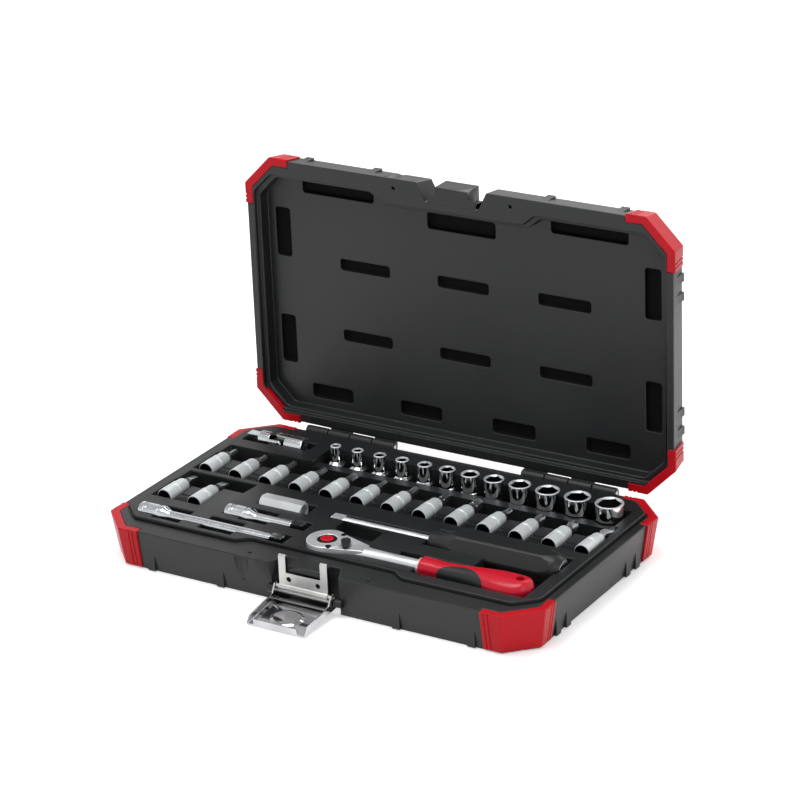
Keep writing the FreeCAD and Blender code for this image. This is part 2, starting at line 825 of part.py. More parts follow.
def bed_pockets():
    """Everything that the tool bed is hollowed out for."""
    clear = dim.seat_clearance
    top = bed_top + PAST
    tools = []
    # bit sockets and the troughs behind their bodies
    reach = dim.bit_body_length + 2 * clear
    columns = bit_columns()
    margin = dim.bit_body_radius + clear
    deep = (dim.trough_floor, top)
    for tag, row, places, right in (
        ("a", dim.bit_first_row, columns, columns[-1] + margin),
        ("b", dim.bit_second_row, columns[:len(SECOND_ROW)], columns[len(SECOND_ROW)]),
    ):
        for i, x in enumerate(places):
            tools += cradle(f"bit_seat_{tag}{i}", dim.bit_body_radius, row - clear, reach, x, dim.bit_axis, "Y")
        back = row + dim.bit_body_length
        tools.append(block(f"bit_trough_{tag}", (places[0] - margin, right), (back, back + dim.trough_width), deep))
    # sockets stand in holes in the floor of a shallow trench
    seats = socket_seats()
    row = dim.socket_row
    half = dim.socket_trench_half
    tools.append(block("socket_trench", (seats[0][1] - half, seats[-1][1] + half + clear),
                       (row - half, row + half), (dim.socket_trench_floor, top)))
    bottom = dim.socket_top - dim.socket_length - clear
    for i, (size, x, seat) in enumerate(seats):
        tools.append(rod(f"socket_seat_{i}", seat + clear, bed_top - bottom, (x, row, bottom)))
    # extension bars: head, shank, scoops for fingers and a well at the square end
    for name, start, row, length in (
        ("long", dim.long_bar_start, dim.long_bar_row, dim.long_bar_length),
        ("short", dim.short_bar_start, dim.short_bar_row, dim.short_bar_length),
    ):
        head = dim.bar_head_length + dim.bar_taper
        axis = dim.bar_axis
        tools += cradle(f"{name}_head_seat", dim.bar_head_radius, start - clear, head + clear, row, axis, "X")
        tools += cradle(f"{name}_shank_seat", dim.bar_radius, start + head, length - head, row, axis, "X")
        well = start + length - dim.square_length - 2 * clear
        tools.append(block(f"{name}_well", (well, well + dim.finger_well + 3 * clear),
                           (row - dim.bar_head_radius, row + dim.bar_head_radius), (dim.well_floor, top)))
        tools += cradle(f"{name}_head_scoop", dim.scoop_radius, start + dim.head_scoop_start,
                        dim.head_scoop_length, row, axis, "X")
    tools += cradle("long_shank_scoop", dim.scoop_radius, dim.long_bar_start + dim.shank_scoop_start,
                    dim.shank_scoop_length, dim.long_bar_row, dim.bar_axis, "X")
    # coupler
    half = dim.coupler_flats / math.sqrt(3) + clear
    floor = dim.bar_axis - dim.coupler_flats / 2 - clear
    start = dim.coupler_start
    tools.append(block("coupler_seat", (start - clear, start + dim.coupler_length + dim.finger_well / 2),
                       (dim.coupler_row - half, dim.coupler_row + half), (floor, top)))
    # universal joint, with room for its square end to swing
    start = dim.joint_centre - dim.joint_body_start
    tools += cradle("joint_seat", dim.joint_radius, start, dim.joint_tail + dim.joint_body_start + clear,
                    dim.joint_row, dim.joint_axis, "X")
    half = dim.joint_radius + dim.joint_swing_room
    nose = dim.joint_neck_start + dim.joint_nose + dim.square_length
    tools.append(block("joint_swing_seat", (dim.joint_centre - nose - 2 * clear, start + clear),
                       (dim.joint_row - half, dim.joint_row + half),
                       (dim.joint_axis - dim.joint_radius - clear, top)))
    tail = dim.joint_centre + dim.joint_tail
    half = dim.joint_radius
    tools.append(block("joint_well", (tail, tail + dim.finger_well / 2),
                       (dim.joint_row - half, dim.joint_row + half), (dim.well_floor, top)))
    # spinner handle
    row = dim.spinner_row
    tools += cradle("blade_seat", dim.spinner_blade_radius + clear, dim.spinner_start - 2 * clear,
                    dim.spinner_blade + 3 * clear, row, dim.spinner_axis, "X")
    half = dim.drive_square / 2 + clear
    start = dim.spinner_start
    tools.append(block("blade_tip_seat", (start - 2 * clear, start + dim.square_length + clear),
                       (row - half, row + half), (dim.spinner_axis - half - dim.detent_radius, top)))
    start = dim.spinner_start + dim.spinner_blade
    half = dim.spinner_corner_radius + 2 * clear
    floor = dim.spinner_axis - dim.spinner_flats / 2 - clear
    tools.append(block("spinner_seat", (start - clear, start + dim.spinner_grip_length + 2 * clear),
                       (row - half, row + half), (floor, top)))
    # ratchet: head, square, neck, shank and grip
    row = dim.ratchet_row
    x = dim.ratchet_x
    floor = dim.ratchet_top - dim.head_thick - dim.cover_thick - clear
    tools.append(rod("head_seat", dim.head_radius + clear, top - floor, (x, row, floor)))
    below = dim.square_length + dim.square_seat_clearance
    tools.append(rod("square_seat", dim.boss_radius, below + PAST, (x, row, floor - below)))
    neck = slab("neck_seat", head_outline(2 * clear), floor, top)
    place(neck, (x, row, 0))
    tools.append(neck)
    axis = dim.ratchet_top - dim.head_thick / 2
    tools += cradle("shank_seat", dim.shank_radius + clear, x + dim.neck_end - MELD,
                    dim.shank_end - dim.neck_end + MELD, row, axis, "X")
    start = x + dim.shank_end
    half = dim.grip_belly_radius + clear
    tools.append(block("grip_seat", (start - dim.collar_length - clear, start + dim.grip_length + 2 * clear),
                       (row - half, row + half), (axis - dim.grip_flat_half - clear, top)))
    # a deep well that lets the hand under both handles
    tools.append(block("hand_well", (dim.hand_well_start, start + dim.grip_length + 2 * clear),
                       (row - half, dim.spinner_row - dim.spinner_flats / 4), (dim.hand_well_floor, top)))
    return tools


def base_shell(guards):
    """The lower half of the case with its tool bed, hinge barrels and latch lugs."""
    skin = loft("base_skin", octagon(-dim.base_draft, 0, "base_foot"), octagon(0, base_top, "base_rim"))
    groove_low = base_top - dim.bed_groove_depth
    round_by = dim.bed_corner_radius
    bed = softened("bed", slab("bed_slab", bed_outline(0), groove_low - PAST, bed_top), round_by)
    moat = softened("moat", slab("moat_slab", bed_outline(-dim.bed_groove), groove_low, bed_top), round_by)
    grooved = cut("base_grooved", skin, [moat])
    ribs = wall_ribs("base_rib", dim.base_rib_inset, dim.rib_foot, dim.base_height / 2)
    marks = wall_marks("base", (dim.dent_foot, base_top - dim.dent_rim),
                       (base_top - dim.rim_hole_depth, base_top + PAST))
    cutters = bed_pockets() + [latch_recess("base_latch_recess", -PAST, bed_top)] + marks + list(guards.values())
    hollow = cut("base_hollow", fuse("base_mass", [grooved, bed] + ribs), cutters)
    half = dim.latch_block_half
    shelf = block("latch_shelf", (-half, half), (front_face + dim.latch_block_back, recess_wall + PAST),
                  (base_top - dim.latch_shelf_drop, base_top))
    post_front = link_closed[0] + dim.link_curl_radius + dim.latch_post_clearance
    post = block("latch_post", (-half, half), (post_front, recess_wall + PAST),
                 (PAST, base_top - dim.latch_shelf_drop + MELD))
    things = [hollow, shelf, post] + knuckles("base")
    inner = dim.lever_half + dim.lug_gap
    outer = dim.latch_recess_half + dim.lug_root
    for side, x in (("left", (-outer, -inner)), ("right", (inner, outer))):
        low = pivot_z - dim.lug_radius
        things.append(block(f"lug_{side}", x, (pivot_y, recess_wall), (low, pivot_z + dim.lug_radius)))
        things.append(rod(f"lug_{side}_round", dim.lug_radius, outer - inner, (x[0], pivot_y, pivot_z), "X"))
    pin_room = dim.latch_pin_radius + dim.pin_play
    pivot_bore = rod("pivot_bore", pin_room, 2 * outer, (-outer, pivot_y, pivot_z), "X")
    keep("base_shell", cut("base_body", fuse("base_whole", things), hinge_bores("base") + [pivot_bore]))


def open_lid(thing):
    """Swing a closed lid's sub-part up about the hinge."""
    return swing(thing, -SIZES["lid_open_angle"], hinge_z, hinge_y)


def lid_shell(guards):
    """The upper half of the case with its stepped recess, tack-off pockets, hinge barrels and catch."""
    skin = loft("lid_skin", octagon(0, lid_low, "lid_rim"), octagon(-dim.lid_draft, lid_top, "lid_crown"))
    step = slab("lid_step_slab", lid_outline(0), lid_low - PAST, lid_low + dim.lid_step_depth)
    recess = slab("lid_recess_slab", lid_outline(dim.lid_step_inset), lid_low - PAST, panel)
    tools = [
        softened("lid_step", step, dim.bed_corner_radius),
        softened("lid_recess", recess, dim.bed_corner_radius),
        latch_recess("lid_latch_recess", lid_low - PAST, lid_top + PAST),
    ]
    tools += wall_marks("lid", (lid_low + dim.dent_rim, lid_top + PAST),
                        (lid_low - PAST, lid_low + dim.rim_hole_depth))
    pockets = list(TACK_POCKETS)
    side = dim.case_length / 2 - dim.tack_side_margin
    for up, width, height in SIDE_POCKETS:
        pockets += [(side, up, width, height), (-side, up, width, height)]
    for i, (x, up, width, height) in enumerate(pockets):
        middle = back_face - up
        pocket = block(f"tack_block_{i}", (x - width / 2, x + width / 2),
                       (middle - height / 2, middle + height / 2), (panel - MELD, panel + dim.tack_depth))
        tools.append(softened(f"tack_{i}", pocket, dim.tack_corner_radius))
    ribs = wall_ribs("lid_rib", dim.lid_rib_inset, lid_low + dim.lid_height / 4, lid_top - dim.rib_foot)
    hollow = cut("lid_hollow", fuse("lid_mass", [skin] + ribs), tools + list(guards.values()))
    half = dim.latch_block_half
    low = lid_low + dim.catch_lift
    things = [hollow] + knuckles("lid")
    things.append(block("lid_block", (-half, half), (front_face + dim.latch_block_back, recess_wall + PAST),
                        (low, lid_top - dim.lid_draft)))
    reach = dim.link_half + dim.seat_clearance
    things.append(block("catch", (-reach, reach), (pivot_y + dim.catch_front, recess_wall + PAST),
                        (low, low + dim.catch_thick)))
    keep("lid_shell", open_lid(cut("lid_body", fuse("lid_whole", things), hinge_bores("lid"))))


def hinge_pins():
    """The two pins of the hinge."""
    length = dim.knuckle_pitch * 4
    pins = [
        rod("pin_left", dim.hinge_pin_radius, length, (-(dim.hinge_inner + length), hinge_y, hinge_z), "X"),
        rod("pin_right", dim.hinge_pin_radius, length, (dim.hinge_inner, hinge_y, hinge_z), "X"),
    ]
    keep("hinge_pins", group("both_hinge_pins", pins))


def latch():
    """The folded steel lever, the link that hooks the lid's catch, and their two pins."""
    thick = dim.sheet_thick
    half = dim.lever_half
    outside = pivot_y - dim.lever_offset - thick
    inside = pivot_y - dim.lever_offset
    tip = pivot_z + dim.lever_reach
    tail = pivot_z - dim.lever_tail
    wall = outside + dim.lever_wall
    link_y, link_z = link_closed
    eye = link_y + dim.cheek_eye
    cheek = [(outside, tail), (pivot_y + dim.lever_tail, tail), (eye, link_z - dim.cheek_eye_half),
             (eye, link_z + dim.cheek_eye_half), (wall + dim.cheek_waist, link_z + dim.cheek_waist_rise),
             (wall, link_z + dim.cheek_shoulder_rise), (wall, tip - dim.cheek_nose), (inside, tip)]
    flange_half = dim.lever_flange_half
    pieces = [
        block("lever_plate", (-half, half), (outside, inside), (tail, tip)),
        block("lever_flange", (-flange_half, flange_half), (outside, wall), (tip - thick, tip)),
        plate_across("cheek_left", cheek, -half, thick - half),
        plate_across("cheek_right", cheek, half - thick, half),
    ]
    bore = dim.latch_pin_radius + dim.pin_play
    holes = [
        rod("lever_pivot_hole", bore, 2 * half + 2 * PAST, (-half - PAST, pivot_y, pivot_z), "X"),
        rod("lever_link_hole", bore, 2 * half + 2 * PAST, (-half - PAST, link_y, link_z), "X"),
    ]
    lever = cut("lever_body", fuse("lever_folded", pieces), holes)
    keep("latch_lever", swing(lever, SIZES["latch_open_angle"], pivot_z, pivot_y))
    pin = dim.latch_pin_radius
    pin_half = dim.latch_recess_half
    keep("latch_pivot_pin", rod("pivot_pin", pin, 2 * pin_half, (-pin_half, pivot_y, pivot_z), "X"))
    open_y, open_z = link_open
    keep("latch_link_pin", rod("link_pin", pin, 2 * half, (-half, open_y, open_z), "X"))
    # the link is drawn about its pin: a plate, two arms and their rolled hooks
    wide = dim.link_half
    arm = dim.link_arm_width
    rise = dim.link_hook_rise
    roll = dim.link_hook_radius
    sheet_y = (-thick / 2, thick / 2)
    pieces = [
        block("link_plate", (-wide, wide), sheet_y, (0, dim.link_plate_rise)),
        rod("link_curl", dim.link_curl_radius, 2 * wide, (-wide, 0, 0), "X"),
    ]
    holes = [rod("link_bore", bore, 2 * wide + 2 * PAST, (-wide - PAST, 0, 0), "X")]
    for side, x in (("left", (-wide, arm - wide)), ("right", (wide - arm, wide))):
        pieces.append(block(f"link_arm_{side}", x, sheet_y, (0, rise)))
        pieces.append(rod(f"link_hook_{side}", roll, arm, (x[0], roll - thick / 2, rise), "X"))
    for side, x in (("left", -dim.link_hole_half), ("right", dim.link_hole_half)):
        at = (x, -PAST, dim.link_hole_rise)
        holes.append(rod(f"link_hole_{side}", dim.link_hole_radius, 2 * PAST, at, "Y"))
    keep("latch_link", place(cut("link_body", fuse("link_folded", pieces), holes), (0, open_y, open_z)))


def square_socket(name, start=0):
    """The female drive square, cut from the end at that height upwards."""
    return square_bar(name, dim.drive_square + dim.square_play, dim.square_depth + PAST, as_size(start) - PAST)


def sockets():
    """Hexagon sockets that stand on their drive ends."""
    length = dim.socket_length
    edge = dim.edge_chamfer
    bottom = dim.socket_top - length
    drive = dim.socket_drive_radius
    for size, x, seat in socket_seats():
        nose = socket_radius(size)
        step = dim.socket_shoulder
        slope = (nose - drive) if nose.value > drive.value else (drive - nose)
        name = f"socket_{size:g}".replace(".", "_")
        body = turned(f"{name}_turned", [
            (0, 0), (drive - edge, 0), (drive, edge), (drive, step), (nose, step + slope * 0.5),
            (nose, length - edge), (nose - edge, length), (0, length),
        ])
        tools = [
            hex_bar(f"{name}_hex", size + dim.square_play, dim.socket_hex_depth + PAST,
                    (0, 0, length - dim.socket_hex_depth)),
            square_socket(f"{name}_square"),
            rod(f"{name}_through", size * 0.4, length, (0, 0, 0)),
        ]
        keep(name, place(cut(f"{name}_cut", body, tools), (x, dim.socket_row, bottom)))


def bit_tip(name, form, half, start):
    """The working end of a bit, from the holder's mouth outwards."""
    reach = dim.bit_reach
    if form == "hex":
        return [hex_bar(f"{name}_tip", 2 * half, reach, (0, 0, start))]
    if form == "flat":
        neck = rod(f"{name}_neck", dim.bit_shank_radius, reach / 2, (0, 0, start))
        thin = dim.bit_blade_half
        blade = block(f"{name}_blade", (-half, half), (-thin, thin), (start, start + reach))
        return [neck, blade]
    if form == "star":
        bar = rod(f"{name}_bar", half, reach, (0, 0, start))
        flutes = []
        for i in range(6):
            turn = math.radians(60 * i)
            circle = half * FLUTE_CIRCLE
            at = (circle * math.cos(turn), circle * math.sin(turn), start + dim.edge_chamfer)
            flutes.append(rod(f"{name}_flute_{i}", half * FLUTE_SHARE, reach, at))
        return [cut(f"{name}_star", bar, flutes)]
    straight = reach * 0.55
    neck = rod(f"{name}_neck", half, straight, (0, 0, start))
    point = cone(f"{name}_point", half, half * POINT_SHARE, reach - straight, (0, 0, start + straight))
    wing = half * WING_SHARE
    far = half + PAST
    quarters = []
    for i, (x, y) in enumerate(((1, 1), (1, -1), (-1, 1), (-1, -1))):
        x_span = (wing, far) if x > 0 else (-far, -wing)
        y_span = (wing, far) if y > 0 else (-far, -wing)
        z_span = (start + straight + 1, start + reach + PAST)
        quarters.append(block(f"{name}_quarter_{i}", x_span, y_span, z_span))
    return [cut(f"{name}_cross", fuse(f"{name}_solid", [neck, point]), quarters)]


def bit_socket(form, number, half, x, row):
    """A turned holder with a bit pressed into it, lying with its drive end to the front."""
    name = f"bit_socket_{form}_{number}"
    length = dim.bit_body_length
    radius = dim.bit_body_radius
    groove = radius - dim.bit_groove_depth
    middle = dim.bit_groove_place
    near = dim.bit_groove_half
    far = near + dim.bit_groove_slope
    edge = dim.edge_chamfer
    holder = turned(f"{name}_holder", [
        (0, 0), (radius - edge, 0), (radius, edge), (radius, middle - far), (groove, middle - near),
        (groove, middle + near), (radius, middle + far), (radius, length - dim.bit_mouth_length),
        (radius - dim.bit_mouth_taper, length), (0, length),
    ])
    bore = rod(f"{name}_bore", dim.bit_shank_radius + dim.bit_play, dim.bit_shank_depth + PAST,
               (0, 0, length - dim.bit_shank_depth))
    body = cut(f"{name}_body", holder, [square_socket(f"{name}_square"), bore])
    inside = dim.bit_shank_depth
    shank = rod(f"{name}_shank", dim.bit_shank_radius, inside, (0, 0, length - inside))
    bit = fuse(f"{name}_bit", [shank] + bit_tip(name, form, half, length))
    keep(name, place(group(f"{name}_pair", [body, bit]), (x, row, dim.bit_axis), "Y"))


def bit_sockets():
    """Two rows of bit sockets."""
    columns = bit_columns()
    for (form, number, half), x in zip(FIRST_ROW, columns):
        bit_socket(form, number, half, x, dim.bit_first_row)
    for (form, number, half), x in zip(SECOND_ROW, columns):
        bit_socket(form, number, half, x, dim.bit_second_row)


def drive_end(name, start):
    """A male square with its detent ball, and the ball's own seat as a cutter."""
    half = dim.drive_square / 2
    square = square_bar(f"{name}_drive", dim.drive_square, dim.square_length, start)
    at = (half - dim.detent_radius * BALL_SHARE, 0, as_size(start) + dim.square_length / 2)
    return square, ball(f"{name}_ball", dim.detent_radius, at), ball(f"{name}_ball_seat", dim.detent_radius, at)


def extension_bar(name, length, start, row):
    """A bar with a female head at one end and a male square at the other."""
    head = dim.bar_head_length
    shank_end = length - dim.square_length
    radius = dim.bar_head_radius
    body = turned(f"{name}_turned", [
        (0, 0), (radius - dim.edge_chamfer, 0), (radius, dim.edge_chamfer), (radius, head),
        (dim.bar_radius, head + dim.bar_taper),
        (dim.bar_radius, shank_end), (0, shank_end),
    ])
    square, detent, seat = drive_end(name, shank_end)
    bar = cut(f"{name}_bar", fuse(f"{name}_whole", [body, square]), [square_socket(f"{name}_square"), seat])
    keep(name, place(group(f"{name}_set", [bar, detent]), (start, row, dim.bar_axis), "X"))


def coupler():
    """A hexagon sleeve that takes loose bits on the drive."""
    length = dim.coupler_length
    bar = hex_bar("coupler_bar", dim.coupler_flats, length, (0, 0, 0))
    bore = hex_bar("coupler_bore", dim.coupler_bore_flats, dim.coupler_bore_depth + PAST,
                   (0, 0, length - dim.coupler_bore_depth))
    body = cut("coupler_body", bar, [bore, square_socket("coupler_square")])
    keep("bit_coupler", place(body, (dim.coupler_start, dim.coupler_row, dim.bar_axis), "X"))


def universal_joint():
    """Two forks on a cross: the socket end's pin stands upright, the square end's lies level."""
    at = (dim.joint_centre, dim.joint_row, dim.joint_axis)
    radius = dim.joint_radius
    slot = dim.joint_slot
    start = dim.joint_body_start
    far = radius + PAST
    bore = dim.joint_pin_radius + dim.pin_play
    # socket end, drawn with Z along the tool
    ear = dim.joint_ear_half
    edge = dim.edge_chamfer
    barrel = turned("joint_tail_turned", [(0, -ear), (radius, -ear), (radius, dim.joint_tail - edge),
                                          (radius - edge, dim.joint_tail), (0, dim.joint_tail)])
    keepers = fuse("joint_tail_form", [
        rod("joint_tail_ear", ear, 2 * far, (-far, 0, 0), "X"),
        block("joint_tail_web", (-far, far), (-ear, ear), (0, start + MELD)),
        rod("joint_tail_body", far, dim.joint_tail, (0, 0, start)),
    ])
    gap = block("joint_tail_gap", (-slot, slot), (-far, far), (-far, start))
    drive = square_bar("joint_tail_square", dim.drive_square + dim.square_play, dim.square_depth + PAST,
                       dim.joint_tail - dim.square_depth)
    hole = rod("joint_tail_hole", bore, 2 * far, (-far, 0, 0), "X")
    fork = common("joint_tail_fork", barrel, keepers)
    keep("u_joint_socket", place(cut("joint_tail_cut", fork, [gap, drive, hole]), at, "X"))
    # cross
    half = dim.joint_block_half
    inset = dim.joint_pin_inset
    inside = radius - inset
    nose_radius = radius - dim.joint_nose_relief
    pieces = [
        block("cross_block", (-half, half), (-half, half), (-half, half)),
        rod("cross_upright", dim.joint_pin_radius, 2 * inside, (-inside, 0, 0), "X"),
        rod("cross_level", dim.joint_pin_radius, 2 * (nose_radius - inset), (0, inset - nose_radius, 0), "Y"),
    ]
    keep("u_joint_cross", place(fuse("cross_whole", pieces), at, "X"))
    # square end
    neck = dim.joint_neck_start
    shoulder = neck + dim.joint_nose
    edge = dim.joint_nose_chamfer
    barrel = turned("joint_nose_turned", [(0, -shoulder), (nose_radius - edge, -shoulder),
                                          (nose_radius, edge - shoulder), (nose_radius, ear), (0, ear)])
    keepers = fuse("joint_nose_form", [
        rod("joint_nose_ear", ear, 2 * far, (0, -far, 0), "Y"),
        block("joint_nose_web", (-ear, ear), (-far, far), (-neck - MELD, 0)),
        rod("joint_nose_body", far, dim.joint_nose + PAST, (0, 0, -shoulder - PAST)),
    ])
    fork = common("joint_nose_fork", barrel, keepers)
    gap = block("joint_nose_gap", (-far, far), (-slot, slot), (-neck, far))
    square = square_bar("joint_nose_square", dim.drive_square, dim.square_length, -shoulder - dim.square_length)
    hole = rod("joint_nose_hole", bore, 2 * far, (0, -far, 0), "Y")
    body = cut("joint_nose_cut", fuse("joint_nose_whole", [fork, square]), [gap, hole])
    keep("u_joint_drive", place(body, at, "X"))


def spinner():
    """A screwdriver-like handle: blade with a male square, six-sided grip and a drive insert in its butt."""
    at = (dim.spinner_start, dim.spinner_row, dim.spinner_axis)
    blade_end = dim.spinner_blade
    radius = dim.spinner_blade_radius
    length = dim.spinner_grip_length
    butt = blade_end + length
    square_end = dim.square_length
    tang_end = blade_end + dim.spinner_tang
    rod_part = turned("blade_turned", [(0, square_end), (radius, square_end), (radius, tang_end), (0, tang_end)])
    square, detent, seat = drive_end("blade", 0)
    blade = cut("blade_body", fuse("blade_whole", [rod_part, square]), [seat])
    keep("spinner_blade", place(group("blade_set", [blade, detent]), at, "X"))
    wide = dim.spinner_corner_radius
    collar = dim.spinner_collar_radius
    edge = dim.spinner_collar_edge
    butt_edge = dim.spinner_butt_edge
    body = turned("spinner_turned", [
        (0, blade_end), (collar - edge, blade_end), (collar, blade_end + edge),
        (collar + dim.spinner_neck_growth, blade_end + dim.spinner_neck_length),
        (wide, blade_end + dim.spinner_shoulder_length), (wide, butt - dim.spinner_butt_length),
        (wide - dim.spinner_butt_taper, butt - butt_edge), (wide - butt_edge, butt), (0, butt),
    ])
    facets = hex_bar("spinner_facets", dim.spinner_flats, length, (0, 0, blade_end))
    insert_depth = dim.spinner_insert_depth
    holes = [
        rod("spinner_tang_hole", radius + dim.bit_play, dim.spinner_tang + PAST, (0, 0, blade_end - PAST)),
        rod("spinner_insert_hole", dim.spinner_insert_radius + dim.bit_play, insert_depth + PAST,
            (0, 0, butt - insert_depth)),
    ]
    keep("spinner_grip", place(cut("spinner_grip_body", common("spinner_form", body, facets), holes), at, "X"))
    plug = rod("insert_plug", dim.spinner_insert_radius, insert_depth, (0, 0, butt - insert_depth))
    drive = square_bar("insert_square", dim.drive_square + dim.square_play, dim.square_depth + PAST,
                       butt - dim.square_depth)
    keep("spinner_insert", place(cut("insert_body", plug, [drive]), at, "X"))


def gear_outline():
    """Corners of the ratchet wheel: a tooth is a notch between two flanks."""
    count = int(SIZES["gear_teeth"])
    root = dim.gear_radius - dim.gear_tooth_depth
    points = []
    for i in range(count):
        for share, radius in ((0.0, root), (0.5, dim.gear_radius)):
            turn = 2 * math.pi * (i + share) / count
            points.append((radius * math.cos(turn), radius * math.sin(turn)))
    return points


def ratchet():
    """A reversible ratchet that lies on its square, with its wheel, pawl, reverser and release button."""
    x = dim.ratchet_x
    row = dim.ratchet_row
    low = dim.ratchet_top - dim.head_thick
    at = (x, row, low)
    thick = dim.head_thick
    axis = thick / 2
    cavity = thick - dim.head_roof
    gear_room = dim.gear_radius + dim.gear_play
    pawl_at = dim.gear_radius + dim.pawl_gap + dim.pawl_radius
    pawl_room = dim.pawl_radius + dim.pawl_play
    # forged head and shank
    head = rod("head_round", dim.head_radius, thick, (0, 0, 0))
    taper = slab("head_taper", head_outline(0), dim.head_step, thick - dim.head_step)
    root = dim.neck_end - dim.shank_root
    shank = rod("head_shank", dim.shank_radius, dim.shank_end - root, (root, 0, axis), "X")
    collar = rod("head_collar", dim.collar_radius, dim.collar_length,
                 (dim.shank_end - dim.collar_length, 0, axis), "X")
    tang = rod("head_tang", dim.tang_radius, dim.tang_length + MELD, (dim.shank_end - MELD, 0, axis), "X")
    holes = [
        rod("gear_cavity", gear_room, cavity + PAST, (0, 0, -PAST)),
        rod("boss_hole", dim.boss_radius + dim.running_play, thick + 2 * PAST, (0, 0, -PAST)),
        rod("pawl_cavity", pawl_room, cavity - dim.pawl_floor, (pawl_at, 0, dim.pawl_floor)),
        rod("reverser_hole", dim.lever_pin_radius + dim.running_play, thick, (pawl_at, 0, dim.pawl_floor)),
    ]
    turn = math.radians(SIZES["head_screw_angle"])
    screw_x = dim.head_screw_circle * math.cos(turn)
    screw_y = dim.head_screw_circle * math.sin(turn)
    screw_places = [(screw_x, screw_y), (screw_x, -screw_y)]
    screw_room = dim.head_screw_radius + dim.bit_play
    for i, (sx, sy) in enumerate(screw_places):
        holes.append(rod(f"screw_hole_{i}", screw_room, thick + 2 * PAST, (sx, sy, -PAST)))
    forging = fuse("ratchet_forging", [head, taper, shank, collar, tang])
    keep("ratchet_body", place(cut("ratchet_head", forging, holes), at))
    # toothed wheel with the drive square below and a boss above
    lift = dim.gear_lift
    foot = -dim.cover_thick - dim.journal_drop
    teeth = slab("gear_teeth", gear_outline(), lift, lift + dim.gear_height)
    boss = rod("gear_boss", dim.boss_radius, thick - lift - dim.boss_sink, (0, 0, lift))
    journal = rod("gear_journal", dim.boss_radius, lift + MELD - foot, (0, 0, foot))
    square = square_bar("gear_square", dim.drive_square, dim.square_length, foot - dim.square_length)
    button_hole = rod("button_hole", dim.button_radius + dim.running_play, dim.button_height + PAST,
                      (0, 0, thick - dim.button_height - dim.button_stroke))
    detent_at = (dim.drive_square / 2 - dim.detent_radius * BALL_SHARE, 0, foot - dim.square_length / 2)
    seat = ball("gear_ball_seat", dim.detent_radius, detent_at)
    wheel = cut("gear_body", fuse("gear_whole", [teeth, boss, journal, square]), [button_hole, seat])
    keep("ratchet_gear", place(group("gear_set", [wheel, ball("gear_ball", dim.detent_radius, detent_at)]), at))
    keep("ratchet_button", place(rod("button", dim.button_radius, dim.button_height, (0, 0, 0)),
                                 (x, row, low + thick - dim.button_height + dim.button_proud)))
    # retaining plate below the wheel and its screws
    plate = rod("cover_round", dim.cover_radius, dim.cover_thick, (0, 0, -dim.cover_thick))
    plate_holes = [rod("cover_hole", dim.boss_radius + dim.running_play, dim.cover_thick + 2 * PAST,
                       (0, 0, -dim.cover_thick - PAST))]
    screws = []
    for i, (sx, sy) in enumerate(screw_places):
        start = -dim.cover_thick
        length = thick - dim.head_screw_sink - start
        screws.append(rod(f"screw_{i}", dim.head_screw_radius, length, (sx, sy, start)))
        plate_holes.append(rod(f"cover_screw_hole_{i}", screw_room, dim.cover_thick + 2 * PAST,
                               (sx, sy, start - PAST)))
    keep("ratchet_cover", place(cut("cover_body", plate, plate_holes), at))
    keep("ratchet_screws", place(group("head_screws", screws), at))
    # pawl and reverser turn together on one pin
    pawl_low = dim.pawl_floor + dim.pawl_end_play
    pawl_top = cavity - dim.pawl_end_play
    disc = rod("pawl_disc", dim.pawl_radius, pawl_top - pawl_low, (pawl_at, 0, pawl_low))
    hollow = rod("pawl_hollow", dim.pawl_radius * 0.9, pawl_top - pawl_low + 2 * PAST,
                 (pawl_at - dim.pawl_radius * 1.15, 0, pawl_low - PAST))
    keep("ratchet_pawl", place(cut("pawl_body", disc, [hollow]), at))
    floor = thick + dim.reverser_gap
    pin = rod("reverser_pin", dim.lever_pin_radius, floor + MELD - pawl_top, (pawl_at, 0, pawl_top))
    hub = dim.reverser_hub_radius
    knob = rod("reverser_knob", hub, dim.reverser_thick, (pawl_at, 0, floor))
    turn = math.radians(SIZES["reverser_angle"])
    across = (math.sin(turn), math.cos(turn))
    tip_x = dim.reverser_reach * math.cos(turn)
    tip_y = -dim.reverser_reach * math.sin(turn)
    tip_radius = dim.reverser_tip_radius
    tip = rod("reverser_tip", tip_radius, dim.reverser_thick, (pawl_at + tip_x, tip_y, floor))
    blade = slab("reverser_blade", [
        (-hub * across[0], -hub * across[1]), (tip_x - tip_radius * across[0], tip_y - tip_radius * across[1]),
        (tip_x + tip_radius * across[0], tip_y + tip_radius * across[1]), (hub * across[0], hub * across[1]),
    ], floor, floor + dim.reverser_thick)
    place(blade, (pawl_at, 0, 0))
    keep("ratchet_reverser", place(fuse("reverser_body", [pin, knob, tip, blade]), at))
